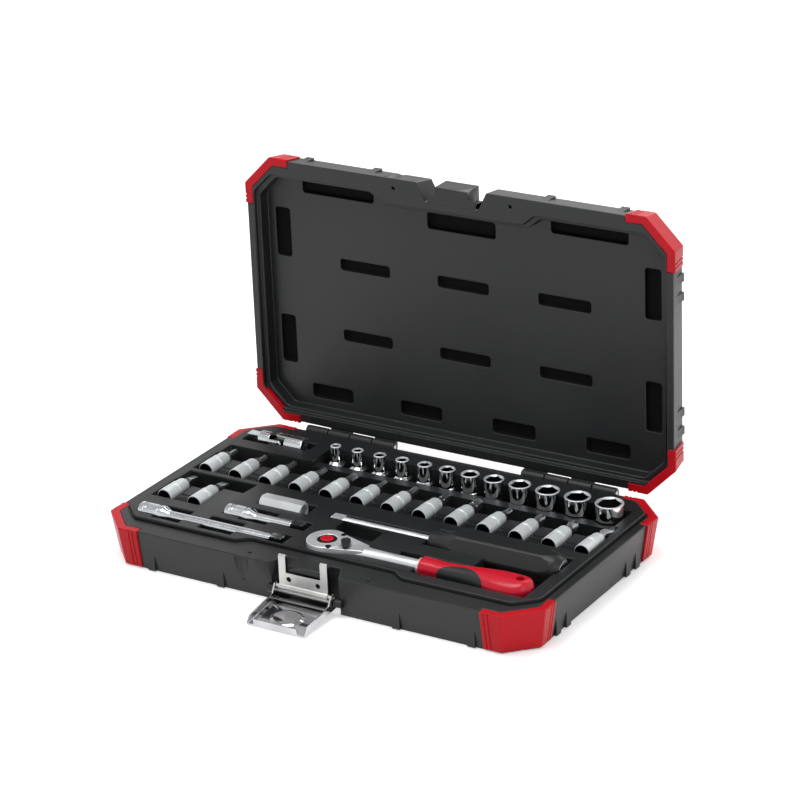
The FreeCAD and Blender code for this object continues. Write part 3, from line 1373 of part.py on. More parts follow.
    # two-part grip on the tang
    start = dim.shank_end
    end = dim.grip_length
    neck = dim.grip_neck_radius
    belly = dim.grip_belly_radius
    form = turned("grip_turned", [
        (0, 0), (neck - dim.edge_chamfer, 0), (neck, dim.edge_chamfer), (neck * 0.92, end * 0.2),
        (neck * 1.05, end * 0.45), (belly * 0.94, end * 0.66), (belly, end * 0.78), (belly * 0.9, end * 0.9),
        (belly * 0.62, end * 0.97), (belly * 0.25, end), (0, end),
    ])
    place(form, (start, 0, axis), "X")
    flat = dim.grip_flat_half
    flats = block("grip_flats", (start, start + end), (-belly - PAST, belly + PAST), (axis - flat, axis + flat))
    tang_room = dim.tang_radius + dim.bit_play
    holes = [
        rod("grip_tang_hole", tang_room, dim.tang_length + PAST, (start - PAST, 0, axis), "X"),
        rod("grip_hang_hole", dim.grip_hole_radius, 4 * flat, (start + end * 0.9, 0, axis - 2 * flat)),
    ]
    whole = cut("grip_whole", common("grip_flattened", form, flats), holes)
    arch = dim.inlay_arch_radius
    window = rod("inlay_window", arch, 2 * flat + 2 * PAST,
                 (start + end * 0.37, -dim.inlay_depth - arch, axis - flat - PAST))
    keep("ratchet_grip", place(cut("grip_red", whole, [window]), at))
    keep("ratchet_grip_inlay", place(common("grip_black", whole, window), at))


def check():
    """Stop if any feature failed or any sub-part is not a valid solid."""
    doc.recompute()
    for thing in doc.Objects:
        if "Invalid" in thing.State or "Error" in thing.State:
            raise RuntimeError(f"{thing.Name} failed: {thing.State}")
    for name, thing in parts.items():
        shape = thing.Shape
        if shape.isNull() or not shape.isValid() or not shape.Solids:
            raise RuntimeError(f"{name} is not a valid solid")


def main():
    """Build every sub-part, check it and write it."""
    foot_grow = dim.base_draft * dim.guard_foot / dim.base_height - dim.base_draft
    crown_grow = dim.lid_draft * dim.guard_foot / dim.lid_height - dim.lid_draft
    base_cutters, base_guards = guard_set("base_guard", dim.guard_foot, base_top, foot_grow, 0)
    lid_cutters, lid_guards = guard_set("lid_guard", lid_low, lid_top - dim.guard_foot, 0, crown_grow)
    base_shell(base_cutters)
    lid_shell(lid_cutters)
    for corner, thing in base_guards.items():
        keep(f"base_guard_{corner}", thing)
    for corner, thing in lid_guards.items():
        keep(f"lid_guard_{corner}", open_lid(group(f"lid_{corner}_swung", [thing])))
    hinge_pins()
    latch()
    sockets()
    bit_sockets()
    extension_bar("extension_long", dim.long_bar_length, dim.long_bar_start, dim.long_bar_row)
    extension_bar("extension_short", dim.short_bar_length, dim.short_bar_start, dim.short_bar_row)
    coupler()
    universal_joint()
    spinner()
    ratchet()
    check()
    os.makedirs("parts", exist_ok=True)
    for name, thing in parts.items():
        thing.Shape.exportStep(f"parts/{name}.step")
        print(name, len(thing.Shape.Solids), round(thing.Shape.Volume, 1))


main()
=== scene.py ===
"""Looks of a quarter-inch socket wrench set that lies in its open moulded case.

Every piece is in metres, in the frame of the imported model: the case lies along X with its latch at -Y,
and the origin is the middle of the base's underside.
"""
import json
import logging
import math
from dataclasses import dataclass, field
from enum import Enum
from typing import Callable, Sequence

import bmesh
import bpy
from bmesh.types import BMEdge, BMesh, BMFace, BMVert
from bpy.types import ID, Material, Node, NodeSocket, NodeTree, Object
from mathutils import Matrix, Vector
from mathutils.bvhtree import BVHTree

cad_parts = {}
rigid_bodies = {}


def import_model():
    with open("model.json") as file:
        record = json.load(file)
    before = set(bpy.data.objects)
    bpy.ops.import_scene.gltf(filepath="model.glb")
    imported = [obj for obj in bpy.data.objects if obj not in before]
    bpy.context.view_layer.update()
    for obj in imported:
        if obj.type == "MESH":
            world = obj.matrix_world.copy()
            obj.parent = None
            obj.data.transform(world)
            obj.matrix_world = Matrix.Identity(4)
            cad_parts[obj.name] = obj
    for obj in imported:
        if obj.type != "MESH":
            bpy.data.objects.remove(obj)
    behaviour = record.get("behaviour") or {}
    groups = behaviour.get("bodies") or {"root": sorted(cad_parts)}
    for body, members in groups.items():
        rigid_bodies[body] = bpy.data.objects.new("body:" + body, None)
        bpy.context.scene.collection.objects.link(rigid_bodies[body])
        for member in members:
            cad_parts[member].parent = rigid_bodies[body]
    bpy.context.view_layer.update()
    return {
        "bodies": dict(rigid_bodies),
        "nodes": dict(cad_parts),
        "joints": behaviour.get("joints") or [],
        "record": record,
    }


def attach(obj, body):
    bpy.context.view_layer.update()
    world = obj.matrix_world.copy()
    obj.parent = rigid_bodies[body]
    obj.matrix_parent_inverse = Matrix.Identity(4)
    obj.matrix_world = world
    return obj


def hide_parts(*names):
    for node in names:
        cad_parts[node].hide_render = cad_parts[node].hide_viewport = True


log = logging.getLogger("socket_set")
Colour = tuple[float, float, float]
Span = tuple[float, float]
Test = Callable[[Vector], bool]
Term = NodeSocket | float | Sequence[float]

MM = 0.001
# Half the width and the depth of a drive hole, in millimetres
DRIVE_HALF = 3.2
DRIVE_DEPTH = 9.0
# Joining a node's triangles: points this near are one, in metres, and faces this level are one, in degrees
WELD = 3e-6
LEVEL = 0.6
# Points this near to a cutting plane lie on it, in millimetres
ON_PLANE = 1e-4
# Angles from which an edge is rounded, or sharp where nothing is rounded, in degrees
ROUNDED_FROM = 28.0
SHARP_FROM = 34.0
# Room for a rounding: start of the look beside an edge, in metres, reach of the look and share that is used
NUDGE = 0.00002
ROOM_REACH = 3.0
ROOM_SHARE = 0.4


class Lay(Enum):
    """How a tool that is drawn along +Z lies in the case."""

    UPRIGHT = "upright"
    ALONG_X = "along_x"
    ALONG_Y = "along_y"

    def matrix(self, at: Sequence[float]) -> Matrix:
        """Turn +Z to the tool's own direction and move it to a place.

        Args:
            at: Place of the tool's own origin, in millimetres.

        Returns:
            The matrix from the drawing to the frame, in metres.
        """
        turns = {
            Lay.UPRIGHT: Matrix.Identity(4),
            Lay.ALONG_X: Matrix.Rotation(math.radians(90.0), 4, "Y"),
            Lay.ALONG_Y: Matrix.Rotation(math.radians(-90.0), 4, "X"),
        }
        return Matrix.Translation(Vector(at) * MM) @ turns[self] @ Matrix.Scale(MM, 4)


class Outline(Enum):
    """Cross-section of a ring, drawn for a size of 1."""

    ROUND = "round"
    SQUARE = "square"
    HEX = "hex"
    STAR = "star"
    CROSS = "cross"
    KNURL = "knurl"
    PILLOW = "pillow"

    def reach(self, turn: float) -> float:
        """Distance of the section's edge from the axis.

        Args:
            turn: Angle round the axis, in radians.

        Returns:
            The distance; half the width across flats is 1 for a square or a hexagon.
        """
        if self is Outline.SQUARE:
            return 1.0 / max(abs(math.cos(turn)), abs(math.sin(turn)))
        if self is Outline.HEX:
            return 1.0 / math.cos((turn + math.pi / 6) % (math.pi / 3) - math.pi / 6)
        if self is Outline.STAR:
            return 0.88 + 0.12 * math.cos(6.0 * turn)
        if self is Outline.CROSS:
            return 0.66 + 0.34 * math.cos(4.0 * turn)
        if self is Outline.KNURL:
            return 0.975 + 0.025 * math.cos(16.0 * turn)
        if self is Outline.PILLOW:
            return (abs(math.cos(turn)) ** 2.5 + abs(math.sin(turn)) ** 2.5) ** -0.4
        return 1.0


class Tip(Enum):
    """Form of a bit's working end."""

    STAR = "star"
    HEX = "hex"
    CROSS = "cross"
    FLAT = "flat"


# Shader effects that several finishes share


def new_group(name: str, inputs: dict[str, float], outputs: Sequence[str]) -> NodeTree:
    """Start a shader node group with float inputs.

    Args:
        name: Name of the group.
        inputs: Input names and their default values.
        outputs: Names of the float outputs.

    Returns:
        The empty group, with its two end nodes in it.
    """
    tree = bpy.data.node_groups.new(name, "ShaderNodeTree")
    for label, value in inputs.items():
        socket = tree.interface.new_socket(label, in_out="INPUT", socket_type="NodeSocketFloat")
        socket.default_value = value
    for label in outputs:
        tree.interface.new_socket(label, in_out="OUTPUT", socket_type="NodeSocketFloat")
    tree.nodes.new("NodeGroupInput").name = "in"
    tree.nodes.new("NodeGroupOutput").name = "out"
    return tree


def feed(node: Node, terms: dict[str | int, Term]) -> None:
    """Link sockets to a node's inputs and set plain values on them, by name or number."""
    for label, term in terms.items():
        if isinstance(term, NodeSocket):
            node.id_data.links.new(term, node.inputs[label])
        else:
            node.inputs[label].default_value = term


def add_node(tree: NodeTree, kind: str, terms: dict[str | int, Term], **choices: str | NodeTree) -> Node:
    """Add a node.

    Args:
        tree: Tree that takes the node.
        kind: Type of the node.
        terms: Sockets or plain values for its inputs.
        choices: Settings of the node.

    Returns:
        The node.
    """
    node = tree.nodes.new(kind)
    for label, choice in choices.items():
        setattr(node, label, choice)
    feed(node, terms)
    return node


def add_math(tree: NodeTree, kind: str, *terms: Term) -> NodeSocket:
    """Add a Math node with its terms in order, and give its value."""
    return add_node(tree, "ShaderNodeMath", dict(enumerate(terms)), operation=kind).outputs[0]


def add_noise(tree: NodeTree, place: NodeSocket, scale: Term, detail: float) -> NodeSocket:
    """Add a noise of some octaves at a scale, and give its value."""
    return add_node(tree, "ShaderNodeTexNoise", {"Vector": place, "Scale": scale, "Detail": detail}).outputs["Fac"]


def grain_group() -> NodeTree:
    """Moulded grain: a pebbled height, and broad cloudy patches where the mould was polished.

    Returns:
        A group with the outputs Height and Patch.
    """
    tree = new_group("moulded_grain", {"Scale": 900.0, "Patch Scale": 14.0}, ("Height", "Patch"))
    given = tree.nodes["in"].outputs
    place = tree.nodes.new("ShaderNodeTexCoord").outputs["Object"]
    pebble = add_node(tree, "ShaderNodeTexVoronoi", {"Vector": place, "Scale": given["Scale"]}, feature="SMOOTH_F1")
    fine = add_noise(tree, place, add_math(tree, "MULTIPLY", given["Scale"], 2.3), 3.0)
    feed(tree.nodes["out"], {
        "Height": add_math(tree, "MULTIPLY_ADD", fine, 0.6, pebble.outputs["Distance"]),
        "Patch": add_noise(tree, place, given["Patch Scale"], 4.0),
    })
    return tree


def marks_group() -> NodeTree:
    """Hairline polishing marks along one axis, and smudges from handling.

    Returns:
        A group with the outputs Lines and Smudge.
    """
    sizes = {"Along": 40.0, "Across": 2600.0, "Smudge Scale": 60.0}
    tree = new_group("polish_marks", sizes, ("Lines", "Smudge"))
    given = tree.nodes["in"].outputs
    place = tree.nodes.new("ShaderNodeTexCoord").outputs["Object"]
    stretch = add_node(tree, "ShaderNodeCombineXYZ", {0: given["Along"], 1: given["Across"], 2: given["Across"]})
    scaled = add_node(tree, "ShaderNodeVectorMath", {0: place, 1: stretch.outputs[0]}, operation="MULTIPLY")
    feed(tree.nodes["out"], {
        "Lines": add_noise(tree, scaled.outputs[0], 1.0, 2.0),
        "Smudge": add_noise(tree, place, given["Smudge Scale"], 5.0),
    })
    return tree


def mapped(tree: NodeTree, value: NodeSocket, low: float, high: float,
           start: float = 0.35, end: float = 0.65) -> NodeSocket:
    """Spread a noise value between two numbers.

    Args:
        tree: Tree that takes the node.
        value: Noise value.
        low: Result at the start.
        high: Result at the end.
        start: Noise value that gives low.
        end: Noise value that gives high.

    Returns:
        The spread value.
    """
    terms = {"Value": value, "From Min": start, "From Max": end, "To Min": low, "To Max": high}
    return add_node(tree, "ShaderNodeMapRange", terms).outputs["Result"]


def tinted(tree: NodeTree, mask: NodeSocket, dark: Colour, light: Colour) -> NodeSocket:
    """Mix two colours by a mask, and give the mixed colour."""
    terms = {"A": (*dark, 1.0), "B": (*light, 1.0), "Factor": mask}
    return add_node(tree, "ShaderNodeMix", terms, data_type="RGBA").outputs["Result"]


def bumped(tree: NodeTree, height: NodeSocket, depth: float, strength: float) -> NodeSocket:
    """Turn a height whose step of 1 is a depth in metres into a normal, and give the normal."""
    terms = {"Distance": depth, "Strength": strength, "Height": height}
    return add_node(tree, "ShaderNodeBump", terms).outputs["Normal"]


def new_material(name: str) -> tuple[Material, Node]:
    """Start a material, and give it with its shader."""
    material = bpy.data.materials.new(name)
    material.use_nodes = True
    return material, material.node_tree.nodes["Principled BSDF"]


@dataclass(frozen=True)
class Finish:
    """Two tones and two roughnesses that a shared effect spreads over a surface."""

    name: str
    slot: str
    dark: Colour
    light: Colour
    smooth: float
    rough: float

    def dressed(self, effect: NodeTree, sizes: dict[str, float], values: dict[str, float],
                bump: Span) -> Material:
        """Make the material.

        Args:
            effect: Group whose outputs are a height and a mask.
            sizes: Inputs of the effect.
            values: Plain inputs of the shader.
            bump: Depth of the height, in metres, and strength of its bump.

        Returns:
            The finished material.
        """
        material, shader = new_material(self.name)
        tree = material.node_tree
        node = add_node(tree, "ShaderNodeGroup", {}, node_tree=effect)
        feed(node, sizes)
        height, mask = node.outputs
        feed(shader, values)
        feed(shader, {
            "Base Color": tinted(tree, mapped(tree, mask, 0.0, 1.0), self.dark, self.light),
            "Roughness": mapped(tree, mask, self.smooth, self.rough),
            "Normal": bumped(tree, height, *bump),
        })
        return material


@dataclass(frozen=True)
class Plastic(Finish):
    """Moulded plastic with a pebbled grain and cloudy wear."""

    grain: float = 900.0
    grain_depth: float = 0.00007
    strength: float = 0.5
    specular: float = 0.5

    def build(self, groups: dict[str, NodeTree]) -> Material:
        """Make the material from the shared effects."""
        return self.dressed(groups["grain"], {"Scale": self.grain}, {"Specular IOR Level": self.specular},
                            (self.grain_depth, self.strength))


@dataclass(frozen=True)
class Metal(Finish):
    """Steel with hairline polishing marks and faint smudges."""

    along: float = 40.0
    across: float = 2600.0
    line_depth: float = 0.000006
    strength: float = 0.4
    metallic: float = 1.0

    def build(self, groups: dict[str, NodeTree]) -> Material:
        """Make the material from the shared effects."""
        return self.dressed(groups["marks"], {"Along": self.along, "Across": self.across}, {"Metallic": self.metallic},
                            (self.line_depth, self.strength))


FINISHES = (
    Plastic("case_plastic", "black_case_plastic", (0.012, 0.013, 0.014), (0.018, 0.019, 0.02), 0.36, 0.46,
            specular=0.42),
    # painted shade: a darker, duller copy of the case plastic for the lid's tack-off pockets
    Plastic("painted_pocket_shade", "black_case_plastic", (0.004, 0.004, 0.0045), (0.007, 0.007, 0.0075), 0.7, 0.8,
            specular=0.08),
    Plastic("guard_plastic", "red_guard_plastic", (0.5, 0.004, 0.011), (0.58, 0.006, 0.015), 0.3, 0.4,
            grain=1100.0, grain_depth=0.00004, specular=0.2),
    Plastic("grip_red", "red_grip_plastic", (0.6, 0.006, 0.022), (0.68, 0.01, 0.03), 0.22, 0.3,
            grain=1500.0, grain_depth=0.00001, specular=0.35),
    Plastic("grip_black", "black_grip_plastic", (0.013, 0.014, 0.015), (0.02, 0.021, 0.022), 0.36, 0.44,
            grain=1300.0, grain_depth=0.00004, specular=0.36),
    Metal("polished_chrome", "tool_chrome", (0.66, 0.67, 0.69), (0.76, 0.77, 0.78), 0.07, 0.13, line_depth=0.000004),
    Metal("satin_chrome", "tool_chrome", (0.6, 0.63, 0.65), (0.7, 0.73, 0.75), 0.18, 0.26, along=60.0, across=3000.0),
    Metal("pearl_chrome", "tool_chrome", (0.7, 0.73, 0.75), (0.8, 0.83, 0.85), 0.36, 0.46, along=90.0, across=3000.0,
          metallic=0.6),
    # painted shade: dark chrome for the inside of the sockets' hexagons
    Metal("painted_shade_chrome", "tool_chrome", (0.1, 0.1, 0.11), (0.16, 0.16, 0.17), 0.2, 0.3, line_depth=0.000004),
    Metal("pearl_steel", "satin_steel", (0.7, 0.74, 0.75), (0.8, 0.84, 0.85), 0.44, 0.54, along=300.0, across=3000.0,
          line_depth=0.00001, metallic=0.25),
    Metal("bit_steel", "satin_steel", (0.42, 0.43, 0.44), (0.54, 0.55, 0.56), 0.3, 0.4, along=300.0, across=3000.0,
          line_depth=0.00001),
    # painted shade: near-black steel for the holders' drive holes
    Metal("painted_shade_steel", "satin_steel", (0.02, 0.02, 0.022), (0.04, 0.04, 0.043), 0.4, 0.5, line_depth=0.000004),
    Metal("folded_steel", "latch_steel", (0.48, 0.48, 0.47), (0.58, 0.58, 0.56), 0.3, 0.4, along=30.0, across=2200.0),
    Metal("mirror_steel", "latch_steel", (0.5, 0.5, 0.52), (0.6, 0.6, 0.62), 0.06, 0.11, along=30.0, across=2200.0,
          line_depth=0.000004),
    Metal("blued_steel", "dark_steel", (0.03, 0.03, 0.034), (0.05, 0.05, 0.055), 0.34, 0.46, along=200.0,
          across=2400.0),
)
# Finish of a piece that names none, by the slot of its node
SLOT_FINISHES = {
    "black_case_plastic": "case_plastic",
    "red_guard_plastic": "guard_plastic",
    "red_grip_plastic": "grip_red",
    "black_grip_plastic": "grip_black",
    "tool_chrome": "satin_chrome",
    "satin_steel": "bit_steel",
    "latch_steel": "folded_steel",
    "dark_steel": "blued_steel",
}


# Mesh work


def placed(name: str, data: ID) -> Object:
    """Put an object with its data into the scene."""
    thing = bpy.data.objects.new(name, data)
    bpy.context.scene.collection.objects.link(thing)
    return thing


def meshed(name: str, bm: BMesh) -> Object:
    """Put a mesh into the scene as an object."""
    mesh = bpy.data.meshes.new(name)
    bm.to_mesh(mesh)
    return placed(name, mesh)


class RingStack:
    """A mesh that grows ring by ring along +Z, in millimetres, each ring with its own cross-section."""

    def __init__(self, steps: int = 48) -> None:
        """Start with no ring.

        Args:
            steps: Points round every ring.
        """
        self.bm = bmesh.new()
        self.steps = steps
        self.flat = 1.0
        self.edges: list[BMEdge] = []

    def ring(self, outline: Outline, size: float, height: float, flat: float = 1.0) -> "RingStack":
        """Add a ring and join it to the last one.

        Args:
            outline: Cross-section of the ring.
            size: Size of the cross-section.
            height: Height of the ring.
            flat: Scale of the ring across Y.

        Returns:
            The stack itself.
        """
        if self.edges:
            made = bmesh.ops.extrude_edge_only(self.bm, edges=self.edges)["geom"]
            verts = [item for item in made if isinstance(item, BMVert)]
        else:
            verts = bmesh.ops.create_circle(self.bm, cap_ends=True, radius=1.0, segments=self.steps)["verts"]
        for vert in verts:
            turn = math.atan2(vert.co.y / self.flat, vert.co.x)
            reach = size * outline.reach(turn)
            vert.co = (reach * math.cos(turn), reach * math.sin(turn) * flat, height)
        self.flat = flat
        members = set(verts)
        joined = {edge for vert in verts for edge in vert.link_edges if edge.other_vert(vert) in members}
        self.edges = list(joined)
        return self

    def turned(self, *profile: Span) -> "RingStack":
        """Add round rings along a profile of (radius, height) points, and give the stack itself."""
        for radius, height in profile:
            self.ring(Outline.ROUND, radius, height)
        return self

    def prism(self, outline: Outline, size: float, *heights: float) -> "RingStack":
        """Add equal rings at several heights, and give the stack itself."""
        for height in heights:
            self.ring(outline, size, height)
        return self

    def ball(self, radius: float, at: Sequence[float]) -> "RingStack":
        """Add a detent ball, and give the stack itself."""
        bmesh.ops.create_icosphere(self.bm, subdivisions=3, radius=radius, matrix=Matrix.Translation(at))
        return self

    def closed(self) -> BMesh:
        """Close the last ring and turn every face outwards.

        Returns:
            The finished mesh.
        """
        bmesh.ops.contextual_create(self.bm, geom=self.edges)
        bmesh.ops.recalc_face_normals(self.bm, faces=self.bm.faces)
        return self.bm


def edge_room(tree: BVHTree, edge: BMEdge, reach: float) -> float:
    """Free width beside an edge on its two faces.

    Args:
        tree: The mesh as a tree for rays.
        edge: Edge between two faces.
        reach: Width that is looked over.

    Returns:
        The width up to the next wall or brink, at most the reach.
    """
    middle = (edge.verts[0].co + edge.verts[1].co) / 2
    room = reach
    for loop in edge.link_loops:
        along = (loop.link_loop_next.vert.co - loop.vert.co).normalized()
        normal = loop.face.normal
        inward = normal.cross(along)
        for lift in (NUDGE, -NUDGE):
            found = tree.ray_cast(middle + inward * NUDGE + normal * lift, inward, room)
            if found[3] is not None:
                room = min(room, found[3])
    return room


def weigh_edges(bm: BMesh, width: float, crisp: Test | None) -> None:
    """Mark how wide each sharp edge may be rounded, so that neighbours never cross.

    Args:
        bm: Mesh to mark.
        width: Widest rounding, in metres.
        crisp: Whether an edge that touches a point stays sharp; none does without it.
    """
    bm.normal_update()
    tree = BVHTree.FromBMesh(bm)
    weight = bm.edges.layers.float.new("bevel_weight_edge")
    limit = math.radians(ROUNDED_FROM)
    for edge in bm.edges:
        edge.smooth = True
        if len(edge.link_faces) != 2 or edge.calc_face_angle(0.0) <= limit:
            continue
        if crisp and any(crisp(corner.co) for corner in edge.verts):
            edge.smooth = False
        else:
            room = edge_room(tree, edge, ROOM_REACH * width)
            edge[weight] = min(1.0, ROOM_SHARE * room / width)


@dataclass
class Workshop:
    """Holds the loaded frame and the finishes, and turns meshes into riding pieces."""

    frame: dict
    materials: dict[str, Material] = field(init=False)
    finish_slots: dict[str, str] = field(init=False)
    slots: dict[str, str] = field(init=False)
    homes: dict[str, str] = field(init=False)

    def __post_init__(self) -> None:
        """Build the shared effects and every finish, and note where each node belongs."""
        groups = {"grain": grain_group(), "marks": marks_group()}
        self.materials = {finish.name: finish.build(groups) for finish in FINISHES}
        self.finish_slots = {finish.name: finish.slot for finish in FINISHES}
        record = self.frame["record"]
        self.slots = {item["node"]: item["material_slot"] for item in record["subparts"]}
        self.homes = {node: body for body, nodes in record["behaviour"]["bodies"].items() for node in nodes}

    def piece(self, name: str, bm: BMesh, node: str, finish: str = "", matrix: Matrix | None = None,
              replace: bool = True, rounding: float = 0.0, segments: int = 2) -> Object:
        """Make a mesh into a piece that rides with a node's body.

        Args:
            name: Name of the piece.
            bm: The mesh; it is freed.
            node: CAD node that it stands for or goes with.
            finish: Finish; the one of the node's own slot if empty.
            matrix: Matrix from the drawing to the frame; none if it is drawn in the frame.
            replace: Whether it stands for the node.
            rounding: Width of a rounding for edges that are weighed, in metres.
            segments: Faces across a rounding.

        Returns:
            The piece.
        """
        if matrix is not None:
            bmesh.ops.transform(bm, matrix=matrix, verts=bm.verts)
        thing = meshed(name, bm)
        bm.free()
        mesh = thing.data
        mesh.shade_smooth()
        finish = finish or SLOT_FINISHES[self.slots[node]]
        mesh.materials.append(self.materials[finish])
        if rounding:
            bevel = thing.modifiers.new("soft_edges", "BEVEL")
            bevel.width = rounding
            bevel.segments = segments
            bevel.profile = 0.5
            bevel.limit_method = "WEIGHT"
            bevel.use_clamp_overlap = False
        else:
            mesh.set_sharp_from_angle(angle=math.radians(SHARP_FROM))
        weighted = thing.modifiers.new("even_normals", "WEIGHTED_NORMAL")
        weighted.keep_sharp = True
        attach(thing, self.homes[node])
        if replace:
            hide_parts(node)
        log.info("%s rides on %s in %s", name, self.homes[node], finish)
        return thing

    def touch(self, piece: Object, finish: str, chosen: Test) -> None:
        """Give some faces of a piece a second finish.

        Args:
            piece: The piece.
            finish: Finish of the chosen faces.
            chosen: Test of a face's middle, in millimetres of the frame.
        """
        piece.data.materials.append(self.materials[finish])
        number = len(piece.data.materials) - 1
        for face in piece.data.polygons:
            if chosen(face.center / MM):
                face.material_index = number

    @staticmethod
    def carve(bm: BMesh, cutter: BMesh) -> None:
        """Take the inside of closed cutters out of a closed mesh, unless that leaves it open.

        Args:
            bm: Mesh that is cut, in metres.
            cutter: Cutters that stay clear of each other, in millimetres; it is freed.
        """
        bmesh.ops.scale(cutter, vec=(MM, MM, MM), verts=cutter.verts)
        tool = meshed("cutter", cutter)
        cutter.free()
        thing = meshed("stand_in", bm)
        cut = thing.modifiers.new("cut", "BOOLEAN")
        cut.operation = "DIFFERENCE"
        cut.solver = "EXACT"
        cut.object = tool
        result = thing.evaluated_get(bpy.context.evaluated_depsgraph_get())
        bm.clear()
        bm.from_mesh(result.to_mesh())
        result.to_mesh_clear()
        if not bm.faces or not all(edge.is_manifold for edge in bm.edges):
            log.warning("a cut that leaves an open mesh is passed over")
            bm.clear()
            bm.from_mesh(thing.data)
        for spent in (thing, tool):
            bpy.data.meshes.remove(spent.data)

    def merged(self, node: str, cutters: Sequence[BMesh] = ()) -> BMesh:
        """A copy of a node's mesh with its triangles joined into whole faces.

        Args:
            node: CAD node.
            cutters: What is taken out of the copy, one after the other.

        Returns:
            The joined copy, in metres.
        """
        bm = bmesh.new()
        bm.from_mesh(self.frame["nodes"][node].data)
        bmesh.ops.remove_doubles(bm, verts=bm.verts, dist=WELD)
        bmesh.ops.dissolve_limit(bm, angle_limit=math.radians(LEVEL), verts=bm.verts, edges=bm.edges)
        for cutter in cutters:
            self.carve(bm, cutter)
        return bm

    def rounded(self, node: str, width: float, segments: int = 2, finish: str = "",
                cutters: Sequence[BMesh] = (), crisp: Test | None = None) -> Object:
        """Stand for a node with a copy whose edges are rounded as moulding or tumbling leaves them.

        Args:
            node: CAD node.
            width: Widest rounding, in millimetres.
            segments: Faces across a rounding.
            finish: Finish; the one of the node's own slot if empty.
            cutters: What is taken out of the copy first, one after the other.
            crisp: Whether an edge that touches a point stays sharp.

        Returns:
            The piece.
        """
        bm = self.merged(node, cutters)
        weigh_edges(bm, width * MM, crisp)
        return self.piece(f"{node}_look", bm, node, finish, rounding=width * MM, segments=segments)


@dataclass
class SocketRow:
    """Twelve hexagon sockets that stand on their drive ends."""

    shop: Workshop
    sizes: tuple[float, ...] = (4.0, 4.5, 5.0, 5.5, 6.0, 7.0, 8.0, 9.0, 10.0, 11.0, 12.0, 13.0)
    first: float = -67.7
    row: float = 56.0
    top: float = 36.0
    length: float = 25.0
    drive: float = 5.8
    growth: float = 1.19
    wall: float = 1.05
    gap: float = 4.6014
    shoulder: float = 13.0
    # Depths below the top: the bright rim, the floor of the hexagon and the end of the painted shade in it
    rim: float = 0.6
    mouth: float = 10.0
    shade: float = 11.0
    # Reach of the painted shade from the axis, as a share of the hexagon's width
    shade_share: float = 0.6

    def build(self) -> None:
        """Turn every socket and stand it in its seat."""
        x = self.first
        last = 0.0
        for number, size in enumerate(self.sizes):
            nose = self.growth * size / 2 + self.wall
            seat = max(nose, self.drive)
            if number:
                x += last + seat + self.gap
            last = seat
            node = f"socket_{size:g}".replace(".", "_")
            matrix = Lay.UPRIGHT.matrix((x, self.row, self.top - self.length))
            piece = self.shop.piece(f"{node}_look", self.socket(size, nose), node, "polished_chrome", matrix)
            rim = self.top - self.rim
            self.shop.touch(piece, "pearl_chrome", lambda spot: spot.z > rim)
            # painted shade: dark chrome on the faces inside the hexagon
            self.shop.touch(piece, "painted_shade_chrome", lambda spot: self.top - self.shade < spot.z < rim
                            and (spot.xy - Vector((x, self.row))).length < size * self.shade_share)

    def socket(self, size: float, nose: float) -> BMesh:
        """Shape one socket from the floor of its mouth outwards and down to its drive square.

        Args:
            size: Width of the hexagon across flats.
            nose: Radius of the hexagon end.

        Returns:
            The socket along +Z.
        """
        drive = self.drive
        step = self.shoulder
        slope = max(0.6, abs(nose - drive) * 0.6)
        top = self.length
        corner = size / math.sqrt(3.0)
        lip = min(0.5, (nose - corner) * 0.5)
        stack = RingStack()
        stack.turned((size * 0.3, top - self.mouth - 0.6))
        stack.prism(Outline.HEX, size / 2, top - self.mouth, top - 0.9)
        stack.turned((corner * 1.03, top - 0.12), (nose - lip, top), (nose - lip * 0.35, top - lip * 0.35),
                     (nose, top - lip * 1.3), (nose, step + slope + 0.5))
        if nose < drive:
            stack.turned((nose + 0.12, step + slope + 0.1), (drive - 0.35, step + 0.1), (drive, step - 0.4))
        else:
            stack.turned((nose - 0.12, step + slope + 0.1), (drive + 0.12, step + 0.2), (drive, step - 0.3))
        stack.turned((drive, 4.8), (drive - 0.25, 4.5), (drive - 0.25, 3.7), (drive, 3.4), (drive, 0.6),
                     (drive - 0.3, 0.12), (drive - 0.8, 0.0))
        return stack.prism(Outline.SQUARE, DRIVE_HALF, 0.4, DRIVE_DEPTH).closed()


